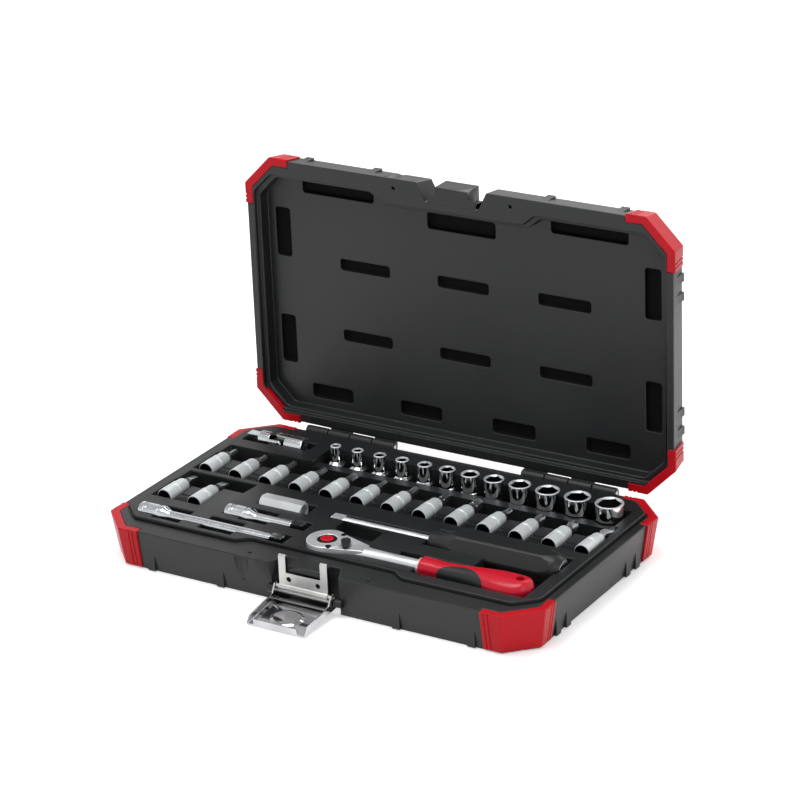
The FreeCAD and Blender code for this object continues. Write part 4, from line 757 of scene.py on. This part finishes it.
@dataclass
class BitRow:
    """Holders with pressed-in bits that lie with their drive ends to the front."""

    shop: Workshop
    pitch: float = 22.2
    axis: float = 25.4
    radius: float = 5.2
    length: float = 22.0
    reach: float = 12.5
    shank: float = 2.7
    # Painted shade in the drive hole: radius and depth
    shade: float = 4.5
    shade_depth: float = 9.2
    # Rows from their drive ends' place along Y: form, number and half size of each tip
    rows: tuple[tuple[float, tuple[tuple[Tip, int, float], ...]], ...] = (
        (6.5, (
            (Tip.STAR, 10, 1.4), (Tip.STAR, 15, 1.7), (Tip.STAR, 20, 2.0), (Tip.STAR, 25, 2.3), (Tip.STAR, 30, 2.7),
            (Tip.HEX, 3, 1.5), (Tip.HEX, 4, 2.0), (Tip.HEX, 5, 2.5), (Tip.HEX, 6, 3.0),
            (Tip.CROSS, 1, 2.2), (Tip.CROSS, 2, 3.0), (Tip.CROSS, 3, 3.6), (Tip.FLAT, 7, 3.5),
        )),
        (-38.5, ((Tip.FLAT, 4, 2.0), (Tip.FLAT, 5, 2.75))),
    )

    def places(self) -> list[list[Span]]:
        """Where the drive ends lie in plan, row by row."""
        first = -self.pitch * (len(self.rows[0][1]) - 1) / 2
        return [[(first + self.pitch * number, y) for number in range(len(bits))] for y, bits in self.rows]

    def build(self) -> None:
        """Turn every holder and give it its bit."""
        for (_, bits), places in zip(self.rows, self.places()):
            for (tip, size, half), (x, y) in zip(bits, places):
                node = f"bit_socket_{tip.value}_{size}"
                matrix = Lay.ALONG_Y.matrix((x, y, self.axis))
                piece = self.shop.piece(f"{node}_look", self.holder(), node, "pearl_steel", matrix)
                # painted shade: near-black steel in and round the drive hole
                self.shop.touch(piece, "painted_shade_steel", lambda spot: spot.y < y + self.shade_depth
                                and math.hypot(spot.x - x, spot.z - self.axis) < self.shade)
                self.shop.piece(f"{node}_bit", self.bit(tip, half), node, "bit_steel", matrix, replace=False)

    def holder(self) -> BMesh:
        """Turn a holder with a drive square, a groove round its middle and a tapered mouth.

        Returns:
            The holder along +Z.
        """
        radius = self.radius
        length = self.length
        stack = RingStack().prism(Outline.SQUARE, DRIVE_HALF, DRIVE_DEPTH, 0.5)
        stack.turned(
            (radius - 0.5, 0.0), (radius - 0.15, 0.12), (radius, 0.5), (radius, 9.2), (radius - 0.55, 9.7),
            (radius - 0.55, 10.9), (radius - 0.1, 11.5), (radius - 0.1, 14.6), (radius - 0.5, 15.3),
            (radius - 0.55, length - 2.2), (radius - 0.8, length - 1.3), (radius - 1.4, length - 0.2),
            (radius - 1.6, length), (3.05, length), (3.0, length - 0.6),
        )
        return stack.closed()

    def bit(self, tip: Tip, half: float) -> BMesh:
        """Shape a bit from the holder's mouth to its point.

        Args:
            tip: Form of the working end.
            half: Radius, half width or half flats of the working end.

        Returns:
            The bit along +Z.
        """
        start = self.length - 0.8
        end = self.length + self.reach
        stack = RingStack().prism(Outline.HEX, self.shank, start, start + 4.4)
        if tip is Tip.FLAT:
            stack.turned((2.6, start + 5.0))
            stack.ring(Outline.SQUARE, half, end - 5.2, 1.3 / half)
            stack.ring(Outline.SQUARE, half, end - 0.2, 0.5 / half)
            stack.ring(Outline.SQUARE, half - 0.15, end, 0.5 / half)
        elif tip is Tip.CROSS:
            stack.turned((min(half, self.shank), start + 5.0), (half * 0.98, end - 5.2))
            stack.ring(Outline.CROSS, half, end - 4.6)
            stack.ring(Outline.CROSS, half * 0.86, end - 2.4)
            stack.ring(Outline.CROSS, half * 0.4, end)
        else:
            outline = Outline.STAR if tip is Tip.STAR else Outline.HEX
            stack.turned((max(half, 1.9), start + 5.2))
            stack.ring(outline, max(half, 1.8), start + 5.6)
            stack.ring(outline, max(half, 1.6), end - 0.4)
            stack.ring(outline, max(half, 1.6) - 0.35, end)
        return stack.closed()


@dataclass
class Case:
    """The two shells of the case with their guards, hinge pins and latch."""

    shop: Workshop
    bits: BitRow
    shell_round: float = 0.7
    guard_round: float = 0.7
    sheet_round: float = 0.25
    # Levels of the bed, of the saddles between its tools and of the floors cut into it, and spare height of a cutter
    bed: float = 28.0
    saddle: float = 25.0
    trench_floor: float = 15.0
    well_floor: float = 20.0
    spare: float = 1.0
    # The cuts in plan: ranges of the saddles and the trench, corners of the wells
    saddles: tuple[tuple[Span, Span], ...] = (
        ((-139.6, 139.6), (1.7, 28.9)), ((-139.6, -103.8), (-43.3, -16.1)), ((-77.7, 135.8), (42.6, 46.4)))
    trench: tuple[Span, Span] = ((-77.5, 135.6), (50.0, 65.9))
    wells: tuple[tuple[Span, ...], ...] = (
        ((-12.0, -23.5), (-12.0, -33.0), (-3.0, -40.0), (6.0, -43.0), (13.0, -47.0), (18.0, -40.0), (18.0, -27.0)),
        ((40.0, -43.5), (43.0, -49.3), (57.0, -49.3), (57.0, -43.5)))
    # Notch under a bit: radius, length and how far its middle lies in front of the drive end
    notch: float = 5.36
    notch_length: float = 5.5
    notch_front: float = 2.0
    # Fields in plan whose edges stay sharp because they are cut, the level they start at and their spare width
    crisp_fields: tuple[tuple[Span, Span], ...] = (
        ((-139.6, 139.6), (1.7, 28.9)), ((-139.6, -103.8), (-43.3, -16.1)), ((-77.7, 135.8), (42.6, 66.0)),
        ((-12.0, 18.0), (-47.0, -23.5)), ((40.0, 57.0), (-49.3, -43.5)), ((-41.0, -8.0), (-73.0, -47.0)))
    crisp_from: float = 14.0
    crisp_spare: float = 0.6
    # Where the marked outer walls begin: from the middle, above the foot, and round the lid as it stands open
    wall_side: float = 145.5
    wall_front: float = 83.5
    wall_foot: float = 0.4
    lid_wall: Span = (93.5, 109.3)
    lid_ends: Span = (34.0, 200.0)
    # Tack-off pockets of the lid, whose shade is painted: depths below its panel, half width and heights of their field
    panel: float = 104.1
    pocket_depth: Span = (0.2, 4.0)
    pocket_side: float = 140.0
    pocket_ends: Span = (34.0, 192.0)
    # Ribs and pad between two bits: sizes, and middles measured from the drive ends
    rib: tuple[float, float, float] = (0.9, 8.6, 1.4)
    rib_middle: float = 1.4
    rib_offsets: tuple[float, ...] = (-3.6, -1.8, 0.0, 1.8, 3.6)
    pad: tuple[float, float, float] = (9.0, 9.0, 1.12)
    pad_middle: float = 13.6
    bar_round: float = 0.24
    # Latch lever: its axle along Y and Z, its swing, and the boss pressed into it
    pivot: Span = (-86.0, 8.5)
    lever_open: float = 96.5
    lever_inside: float = -89.2
    press_middle: float = 21.0
    press_wide: float = 1.3
    press_profile: tuple[Span, ...] = (
        (8.4, -0.3), (8.4, 0.05), (7.8, 0.3), (7.1, 0.7), (6.6, 0.75), (5.9, 0.55), (4.4, 0.3), (2.0, 0.2))

    def build(self) -> None:
        """Dress the shells, the guards and the latch."""
        self.shop.rounded("base_shell", self.shell_round, cutters=self.bed_cutters(), crisp=self.crisp_base)
        lid = self.shop.rounded("lid_shell", self.shell_round, crisp=self.crisp_lid)
        # painted shade: the lid's tack-off pockets get the dark, dull copy of the plastic
        self.shop.touch(lid, "painted_pocket_shade", self.in_pocket_shade)
        for half in ("base", "lid"):
            for end in ("front", "back"):
                for side in ("left", "right"):
                    self.shop.rounded(f"{half}_guard_{end}_{side}", self.guard_round, 3)
        for node in ("latch_link", "hinge_pins", "latch_pivot_pin", "latch_link_pin"):
            self.shop.rounded(node, self.sheet_round)
        self.shop.rounded("latch_lever", self.sheet_round, finish="mirror_steel")
        self.shop.piece("saddle_ribs", self.saddle_ribs(), "base_shell", matrix=Matrix.Scale(MM, 4), replace=False)
        self.shop.piece("lever_pressing", self.lever_pressing(), "latch_lever", "mirror_steel", replace=False)

    def in_pocket_shade(self, spot: Vector) -> bool:
        """Whether a place lies in a tack-off pocket of the lid, where a darker, duller copy of the case plastic paints
        the pocket's shade.
        """
        shallow, deep = self.pocket_depth
        low, high = self.pocket_ends
        inside = abs(spot.x) < self.pocket_side and low < spot.z < high
        return inside and self.panel + shallow < spot.y < self.panel + deep

    @staticmethod
    def blocks(*boxes: tuple[Span, ...]) -> BMesh:
        """Plain blocks from their ranges along X, Y and Z."""
        bm = bmesh.new()
        for box in boxes:
            place = Matrix.Translation([sum(span) / 2 for span in box])
            size = Matrix.Diagonal([span[1] - span[0] for span in box]).to_4x4()
            bmesh.ops.create_cube(bm, size=1.0, matrix=place @ size)
        return bm

    @staticmethod
    def prisms(low: float, high: float, *outlines: tuple[Span, ...]) -> BMesh:
        """Upright prisms over outlines in plan.

        Args:
            low: Level of their floors.
            high: Level of their tops.
            outlines: Corners of each prism, along X and Y.

        Returns:
            The closed prisms.
        """
        bm = bmesh.new()
        for outline in outlines:
            corners = [bm.verts.new((*corner, low)) for corner in outline]
            face = bmesh.ops.contextual_create(bm, geom=corners)["faces"]
            made = bmesh.ops.extrude_face_region(bm, geom=[*face], use_keep_orig=True)["geom"]
            verts = [item for item in made if isinstance(item, BMVert)]
            bmesh.ops.translate(bm, vec=(0.0, 0.0, high - low), verts=verts)
        bmesh.ops.recalc_face_normals(bm, faces=bm.faces)
        return bm

    def bed_cutters(self) -> list[BMesh]:
        """Finger room of the bed: saddles, a notch under each bit, the sockets' trench and two wells by the ratchet.

        Returns:
            The cutters, one after the other.
        """
        top = self.bed + self.spare
        saddles = self.blocks(*((*plan, (self.saddle, top)) for plan in self.saddles))
        notches = bmesh.new()
        along = Matrix.Rotation(math.radians(90.0), 4, "X")
        for x, y in [place for row in self.bits.places() for place in row]:
            place = Matrix.Translation((x, y - self.notch_front, self.bits.axis)) @ along
            bmesh.ops.create_cone(notches, cap_ends=True, segments=48, radius1=self.notch, radius2=self.notch,
                                  depth=self.notch_length, matrix=place)
        trench = self.blocks((*self.trench, (self.trench_floor, self.saddle + self.spare)))
        wells = self.prisms(self.well_floor, top, *self.wells)
        return [saddles, notches, trench, wells]

    def crisp_base(self, point: Vector) -> bool:
        """Whether a point of the base, in metres, lies where the bed is cut or on the marks of its walls."""
        x, y, z = point / MM
        if self.wall_foot < z < self.saddle and (abs(x) > self.wall_side or abs(y) > self.wall_front):
            return True
        near = self.crisp_spare
        return z > self.crisp_from and any(left - near < x < right + near and front - near < y < back + near
                                           for (left, right), (front, back) in self.crisp_fields)

    def crisp_lid(self, point: Vector) -> bool:
        """Whether a point of the lid, in metres, lies on the marks of its walls."""
        x, y, z = point / MM
        low, high = self.lid_ends
        return self.lid_wall[0] < y < self.lid_wall[1] and (abs(x) > self.wall_side or z > high or z < low)

    def saddle_ribs(self) -> BMesh:
        """Stand fine ribs and a low pad on the saddle between each two bits.

        Returns:
            All the ribs, in millimetres of the frame.
        """
        bm = bmesh.new()
        for row in self.bits.places():
            for (left, y), (right, _) in zip(row, row[1:]):
                x = (left + right) / 2
                for offset in self.rib_offsets:
                    self.bar(bm, (x + offset, y + self.rib_middle, self.saddle), self.rib)
                self.bar(bm, (x, y + self.pad_middle, self.saddle), self.pad)
        return bm

    def bar(self, bm: BMesh, middle: Sequence[float], size: Sequence[float]) -> None:
        """Add a small block with rounded edges.

        Args:
            bm: Mesh that takes the block.
            middle: Middle of the block.
            size: Widths along X, Y and Z.
        """
        place = Matrix.Translation(middle) @ Matrix.Diagonal((*size, 1.0))
        made = bmesh.ops.create_cube(bm, size=1.0, matrix=place)
        edges = list({edge for vert in made["verts"] for edge in vert.link_edges})
        bmesh.ops.bevel(bm, geom=edges, offset=min(size) * self.bar_round, offset_type="OFFSET", segments=2,
                        profile=0.5, affect="EDGES", clamp_overlap=True, material=-1)

    def lever_pressing(self) -> BMesh:
        """Press an oval boss with a dished middle into the lever's plate.

        Returns:
            The boss on the open lever, in metres.
        """
        bm = RingStack(64).turned(*self.press_profile).closed()
        along = Vector((0.0, self.lever_inside, self.pivot[1] + self.press_middle)) * MM
        axle = Matrix.Translation(Vector((0.0, *self.pivot)) * MM)
        swung = axle @ Matrix.Rotation(math.radians(self.lever_open), 4, "X") @ axle.inverted()
        upright = Matrix.Rotation(math.radians(-90.0), 4, "X") @ Matrix.Diagonal((self.press_wide, 1.0, 1.0, 1.0))
        place = swung @ Matrix.Translation(along) @ upright @ Matrix.Scale(MM, 4)
        bmesh.ops.transform(bm, matrix=place, verts=bm.verts)
        return bm


@dataclass
class Bars:
    """The extension bars, the coupler, the universal joint and the spinner handle."""

    shop: Workshop
    head: float = 5.5
    shank: float = 3.4
    square: float = 3.15
    square_length: float = 8.0
    ball: float = 1.3
    axis: float = 26.0
    # Length, start along X and place along Y of each extension bar
    extensions: tuple[tuple[str, float, float, float], ...] = (
        ("long", 102.0, -133.5, -61.0), ("short", 54.5, -84.5, -40.0))
    coupler_place: Span = (-73.5, -18.5)
    coupler_length: float = 30.0
    coupler_half: float = 5.25
    coupler_hole: float = 3.2
    coupler_depth: float = 16.0
    # Node, rounding, faces across it and finish
    dressing: tuple[tuple[str, float, int, str], ...] = (
        ("u_joint_socket", 0.3, 2, "satin_chrome"), ("u_joint_drive", 0.3, 2, "satin_chrome"),
        ("spinner_blade", 0.3, 2, "pearl_chrome"), ("spinner_insert", 0.3, 2, "satin_chrome"),
        ("u_joint_cross", 0.3, 2, "blued_steel"), ("spinner_grip", 1.2, 3, "grip_black"))

    def build(self) -> None:
        """Shape the turned bars and dress the rest."""
        for name, length, start, row in self.extensions:
            node = f"extension_{name}"
            matrix = Lay.ALONG_X.matrix((start, row, self.axis))
            self.shop.piece(f"{node}_look", self.extension(length), node, "satin_chrome", matrix)
        matrix = Lay.ALONG_X.matrix((*self.coupler_place, self.axis))
        self.shop.piece("bit_coupler_look", self.coupler(), "bit_coupler", "pearl_chrome", matrix)
        for dressed in self.dressing:
            self.shop.rounded(*dressed)

    def extension(self, length: float) -> BMesh:
        """Turn a bar with a ribbed head, a drive square in it and a male square with its ball.

        Args:
            length: Length over all.

        Returns:
            The bar along +Z.
        """
        head = self.head
        shank = self.shank
        square = self.square
        end = length - self.square_length
        stack = RingStack().prism(Outline.SQUARE, DRIVE_HALF, DRIVE_DEPTH, 0.5)
        stack.turned((head - 0.7, 0.0), (head - 0.25, 0.12), (head, 0.6), (head, 3.0), (head - 0.3, 3.2),
                     (head - 0.3, 3.9), (head, 4.1), (head, 5.0))
        stack.prism(Outline.KNURL, head, 5.2, 12.0)
        stack.turned((head, 12.2), (head, 13.2), (head - 0.3, 13.4), (head - 0.3, 14.1), (head, 14.3), (head, 16.6),
                     (head - 0.25, 17.2), (4.3, 19.2), (3.65, 20.6), (shank, 21.6), (shank, end - 0.6),
                     (shank - 0.1, end - 0.1))
        stack.prism(Outline.SQUARE, square, end + 0.3, length - 0.9)
        stack.ring(Outline.SQUARE, square - 0.5, length)
        stack.ball(self.ball, (square - self.ball * 0.55, 0.0, end + self.square_length / 2))
        return stack.closed()

    def coupler(self) -> BMesh:
        """Shape the six-sided coupler with a square hole at one end and a hexagon hole at the other.

        Returns:
            The coupler along +Z.
        """
        length = self.coupler_length
        half = self.coupler_half
        stack = RingStack().prism(Outline.SQUARE, DRIVE_HALF, DRIVE_DEPTH, 0.5)
        stack.turned((half - 0.55, 0.0), (half - 0.1, 0.25))
        stack.prism(Outline.HEX, half, 1.1, length - 1.1)
        stack.turned((half - 0.1, length - 0.25), (half - 0.6, length), (3.9, length))
        return stack.prism(Outline.HEX, self.coupler_hole, length - 0.6, length - self.coupler_depth).closed()


@dataclass
class Ratchet:
    """The reversible ratchet with its button, reverser and two-part grip."""

    shop: Workshop
    place: tuple[float, float, float] = (-4.5, -53.8, 26.0)
    # Node, rounding, faces across it and finish
    dressing: tuple[tuple[str, float, int, str], ...] = (
        ("ratchet_body", 0.6, 3, "pearl_chrome"), ("ratchet_cover", 0.6, 3, "pearl_chrome"),
        ("ratchet_gear", 0.2, 2, "blued_steel"), ("ratchet_pawl", 0.2, 2, "blued_steel"),
        ("ratchet_screws", 0.2, 2, "blued_steel"), ("ratchet_reverser", 0.4, 2, "grip_black"),
        ("ratchet_button", 0.5, 3, "grip_red"))
    # Neck: half height, half width and place along the shank of each section, and where the sections become round
    neck_sections: tuple[tuple[float, float, float], ...] = (
        (4.2, 6.4, 20.0), (4.4, 5.75, 23.5), (4.46, 5.2, 27.0), (4.44, 4.8, 31.0), (4.38, 4.5, 36.0),
        (4.33, 4.34, 42.0), (3.9, 3.9, 42.2))
    neck_round: float = 30.0
    # Grip: half width and place along it, and the half height from which it is flattened
    grip_start: float = 66.0
    profile: tuple[Span, ...] = (
        (6.1, 0.0), (6.6, 0.8), (6.07, 14.4), (6.95, 32.4), (9.8, 47.5), (10.5, 56.2), (9.5, 64.8), (6.7, 69.6),
        (2.4, 72.0))
    profile_steps: int = 5
    waist: float = 6.6
    flat: float = 0.8
    # Hole for hanging: place along the grip and radius, its sides, the room that is cut round it and what falls out
    hole: Span = (64.4, 2.6)
    hole_sides: int = 24
    hole_room: float = 1.5
    hole_inside: float = 0.985
    # Arch over the inlay: middle along and across the grip and radius, and its half turn and steps in degrees
    arch: tuple[float, float, float] = (26.6, -24.0, 23.0)
    arch_turn: int = 60
    arch_step: int = 4
    # How far the inlay stands out, and the scale of its border that is turned in
    proud: float = 0.12
    border: float = 0.93
    # Head screws: circle, angle from the shank and level over the head's middle
    screw_circle: float = 10.75
    screw_angle: float = 55.0
    screw_level: float = 4.6

    def build(self) -> None:
        """Dress the forging and what is fitted in it, and shape the grip."""
        for dressed in self.dressing:
            self.shop.rounded(*dressed)
        along = Lay.ALONG_X.matrix(self.place)
        self.shop.piece("ratchet_neck", self.neck(), "ratchet_body", "pearl_chrome", along, replace=False)
        x, y, z = self.place
        for side, angle in (("right", -self.screw_angle), ("left", self.screw_angle)):
            turn = math.radians(angle)
            spot = Lay.UPRIGHT.matrix((x + self.screw_circle * math.cos(turn), y + self.screw_circle * math.sin(turn),
                                       z + self.screw_level))
            self.shop.piece(f"head_screw_{side}", self.screw_head(), "ratchet_screws", "blued_steel", spot,
                            replace=False)
        handle = Lay.ALONG_X.matrix((x + self.grip_start, y, z))
        self.shop.piece("ratchet_grip_look", self.pierced(self.handle(0.0)), "ratchet_grip", matrix=handle)
        inlay = self.inlay(self.handle(self.proud))
        self.shop.piece("ratchet_grip_inlay_look", inlay, "ratchet_grip_inlay", matrix=handle)

    def neck(self) -> BMesh:
        """Fair the taper of the head into the round shank.

        Returns:
            The fairing along +Z, from the head's middle.
        """
        stack = RingStack()
        for high, wide, along in self.neck_sections:
            stack.ring(Outline.PILLOW if along < self.neck_round else Outline.ROUND, high, along, wide / high)
        return stack.closed()

    @staticmethod
    def screw_head() -> BMesh:
        """Turn a low screw head with a hexagon recess.

        Returns:
            The head along +Z.
        """
        stack = RingStack(36).prism(Outline.HEX, 0.9, 0.1, 0.5)
        return stack.turned((1.1, 0.6), (1.6, 0.58), (1.9, 0.46), (1.95, 0.3), (1.95, 0.0)).closed()

    def handle(self, grow: float) -> BMesh:
        """Shape the whole grip on a smooth line through the sizes of its profile.

        Args:
            grow: How far the surface lies outside the grip's own.

        Returns:
            The closed grip along +Z.
        """
        stack = RingStack(72)
        knots = (self.profile[0], *self.profile, self.profile[-1])
        for before, start, end, after in zip(knots, knots[1:], knots[2:], knots[3:]):
            for step in range(self.profile_steps):
                share = step / self.profile_steps
                radius, along = (
                    0.5 * (2.0 * b + (c - a) * share + (2.0 * a - 5.0 * b + 4.0 * c - d) * share ** 2
                           + (3.0 * b - a - 3.0 * c + d) * share ** 3)
                    for a, b, c, d in zip(before, start, end, after)
                )
                self.grip_ring(stack, radius + grow, along)
        self.grip_ring(stack, self.profile[-1][0] + grow, self.profile[-1][1])
        return stack.closed()

    def grip_ring(self, stack: RingStack, radius: float, along: float) -> None:
        """Add a ring of the grip, which is flattened where it is wide."""
        spare = max(0.0, radius - self.waist)
        high = min(radius, self.waist) + self.flat * (1.0 - math.exp(-spare / self.flat))
        stack.ring(Outline.PILLOW, high, along, radius / high)

    @staticmethod
    def faces_round(bm: BMesh, middle: Vector, reach: float) -> list[BMFace]:
        """Faces whose middles lie within reach of a line along X."""
        return [face for face in bm.faces if (face.calc_center_median().yz - middle.yz).length < reach]

    def pierced(self, bm: BMesh) -> BMesh:
        """Cut the hole for hanging through the grip's end.

        Args:
            bm: The closed grip.

        Returns:
            The same mesh with the hole.
        """
        along, radius = self.hole
        middle = Vector((0.0, 0.0, along))
        for step in range(self.hole_sides):
            turn = math.tau * step / self.hole_sides
            near = self.faces_round(bm, middle, radius + self.hole_room)
            parts = {*near, *(edge for face in near for edge in face.edges)}
            parts.update(vert for face in near for vert in face.verts)
            away = Vector((0.0, math.cos(turn), math.sin(turn)))
            bmesh.ops.bisect_plane(bm, geom=list(parts), dist=ON_PLANE, plane_co=middle + away * radius, plane_no=away)
        gone = self.faces_round(bm, middle, radius * self.hole_inside)
        bmesh.ops.delete(bm, geom=gone, context="FACES")
        bmesh.ops.bridge_loops(bm, edges=[edge for edge in bm.edges if edge.is_boundary])
        bmesh.ops.recalc_face_normals(bm, faces=bm.faces)
        return bm

    def inlay(self, bm: BMesh) -> BMesh:
        """Keep the part of the grip's surface under the arch of the inlay, and turn its border in.

        Args:
            bm: The closed grip, a little larger than the grip itself.

        Returns:
            The same mesh, cut to the inlay.
        """
        along, across, radius = self.arch
        for turn in range(-self.arch_turn, self.arch_turn + 1, self.arch_step):
            away = Vector((0.0, math.cos(math.radians(turn)), math.sin(math.radians(turn))))
            spot = Vector((0.0, across, along)) + away * radius
            bmesh.ops.bisect_plane(bm, geom=[*bm.verts, *bm.edges, *bm.faces], dist=ON_PLANE, plane_co=spot,
                                   plane_no=away, clear_outer=True)
        border = [edge for edge in bm.edges if edge.is_boundary]
        made = bmesh.ops.extrude_edge_only(bm, edges=border)["geom"]
        for vert in (item for item in made if isinstance(item, BMVert)):
            vert.co.xy *= self.border
        bmesh.ops.recalc_face_normals(bm, faces=bm.faces)
        return bm


@dataclass
class Studio:
    """Floor, soft lights and the camera at the photograph's angle."""

    azimuth: float = 32.13
    elevation: float = 22.53
    roll: float = -2.31
    place: tuple[float, float, float] = (0.9312, -1.4568, 0.8167)
    lens_px: float = 3151.0
    frame_px: float = 800.0
    sensor: float = 36.0
    nearest: float = 0.05
    floor_half: float = 6.0
    floor_tone: float = 0.92
    floor_lift: float = 0.4
    fill: float = 0.26
    # Strength of the ceiling, and the share of the way up from which the walls fade into it
    ceiling: float = 0.4
    fade: Span = (0.35, 0.8)
    aim: tuple[float, float, float] = (0.0, 0.0, 0.05)
    # Place, size and power of each light
    lamps: tuple[tuple[str, tuple[float, float, float], float, float], ...] = (
        ("key", (-0.25, -0.4, 1.7), 1.0, 19.0),
        ("fill", (1.9, -0.6, 1.0), 1.6, 11.0),
        ("rim", (0.0, 1.8, 1.5), 1.4, 26.0),
    )

    def build(self) -> None:
        """Set the stage."""
        self.floor()
        self.world()
        self.lights()
        self.camera()
        bpy.context.scene.view_settings.view_transform = "Standard"

    def camera(self) -> None:
        """Stand the camera where the photograph was taken from."""
        data = bpy.data.cameras.new("camera")
        data.sensor_fit = "HORIZONTAL"
        data.sensor_width = self.sensor
        data.lens = self.lens_px / self.frame_px * self.sensor
        data.clip_start = self.nearest
        thing = placed("camera", data)
        turn = Matrix.Rotation(math.radians(self.azimuth), 4, "Z")
        turn = turn @ Matrix.Rotation(math.radians(90.0 - self.elevation), 4, "X")
        turn = turn @ Matrix.Rotation(math.radians(self.roll), 4, "Z")
        thing.matrix_world = Matrix.Translation(self.place) @ turn
        bpy.context.scene.camera = thing

    def floor(self) -> None:
        """Lay a pale floor that keeps the shadow and shows white where it is lit."""
        bm = bmesh.new()
        bmesh.ops.create_grid(bm, x_segments=1, y_segments=1, size=self.floor_half)
        thing = meshed("floor", bm)
        bm.free()
        material, shader = new_material("pale_floor")
        tree = material.node_tree
        feed(shader, {
            "Base Color": (self.floor_tone, self.floor_tone, self.floor_tone, 1.0),
            "Roughness": 0.8,
            "Specular IOR Level": 0.1,
            "Emission Color": (1.0, 1.0, 1.0, 1.0),
            "Emission Strength": mapped(tree, self.seen(tree), 0.0, self.floor_lift, 0.0, 1.0),
        })
        thing.data.materials.append(material)

    @staticmethod
    def seen(tree: NodeTree) -> NodeSocket:
        """A value of 1 for what the camera sees itself, in metal or through glass."""
        path = tree.nodes.new("ShaderNodeLightPath")
        seen = add_math(tree, "MAXIMUM", path.outputs["Is Camera Ray"], path.outputs["Is Glossy Ray"])
        return add_math(tree, "MAXIMUM", seen, path.outputs["Is Transmission Ray"])

    def world(self) -> None:
        """Fill with even light, and show white walls under a dim ceiling to the camera and to polished metal."""
        world = bpy.data.worlds.new("studio")
        world.use_nodes = True
        bpy.context.scene.world = world
        tree = world.node_tree
        room = tree.nodes.new("ShaderNodeTexCoord").outputs["Generated"]
        axes = add_node(tree, "ShaderNodeSeparateXYZ", {"Vector": room})
        walls = mapped(tree, axes.outputs["Z"], 1.0, self.ceiling, *self.fade)
        shown = add_math(tree, "MULTIPLY_ADD", self.seen(tree), add_math(tree, "SUBTRACT", walls, self.fill), self.fill)
        feed(tree.nodes["Background"], {"Color": (1.0, 1.0, 1.0, 1.0), "Strength": shown})

    def lights(self) -> None:
        """Hang a soft key over the case, a weaker fill on the right and one behind."""
        for name, place, size, power in self.lamps:
            data = bpy.data.lights.new(name, "AREA")
            data.size = size
            data.energy = power
            aim = Vector(self.aim) - Vector(place)
            turn = aim.to_track_quat("-Z", "Y").to_matrix().to_4x4()
            placed(name, data).matrix_world = Matrix.Translation(place) @ turn


def main() -> None:
    """Load the frame, dress every piece and set the stage."""
    logging.basicConfig(level=logging.INFO, format="%(name)s: %(message)s")
    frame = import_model()
    shop = Workshop(frame)
    bits = BitRow(shop)
    for assembly in (Case(shop, bits), SocketRow(shop), bits, Bars(shop), Ratchet(shop)):
        assembly.build()
    Studio().build()


if __name__ == "__main__":
    main()
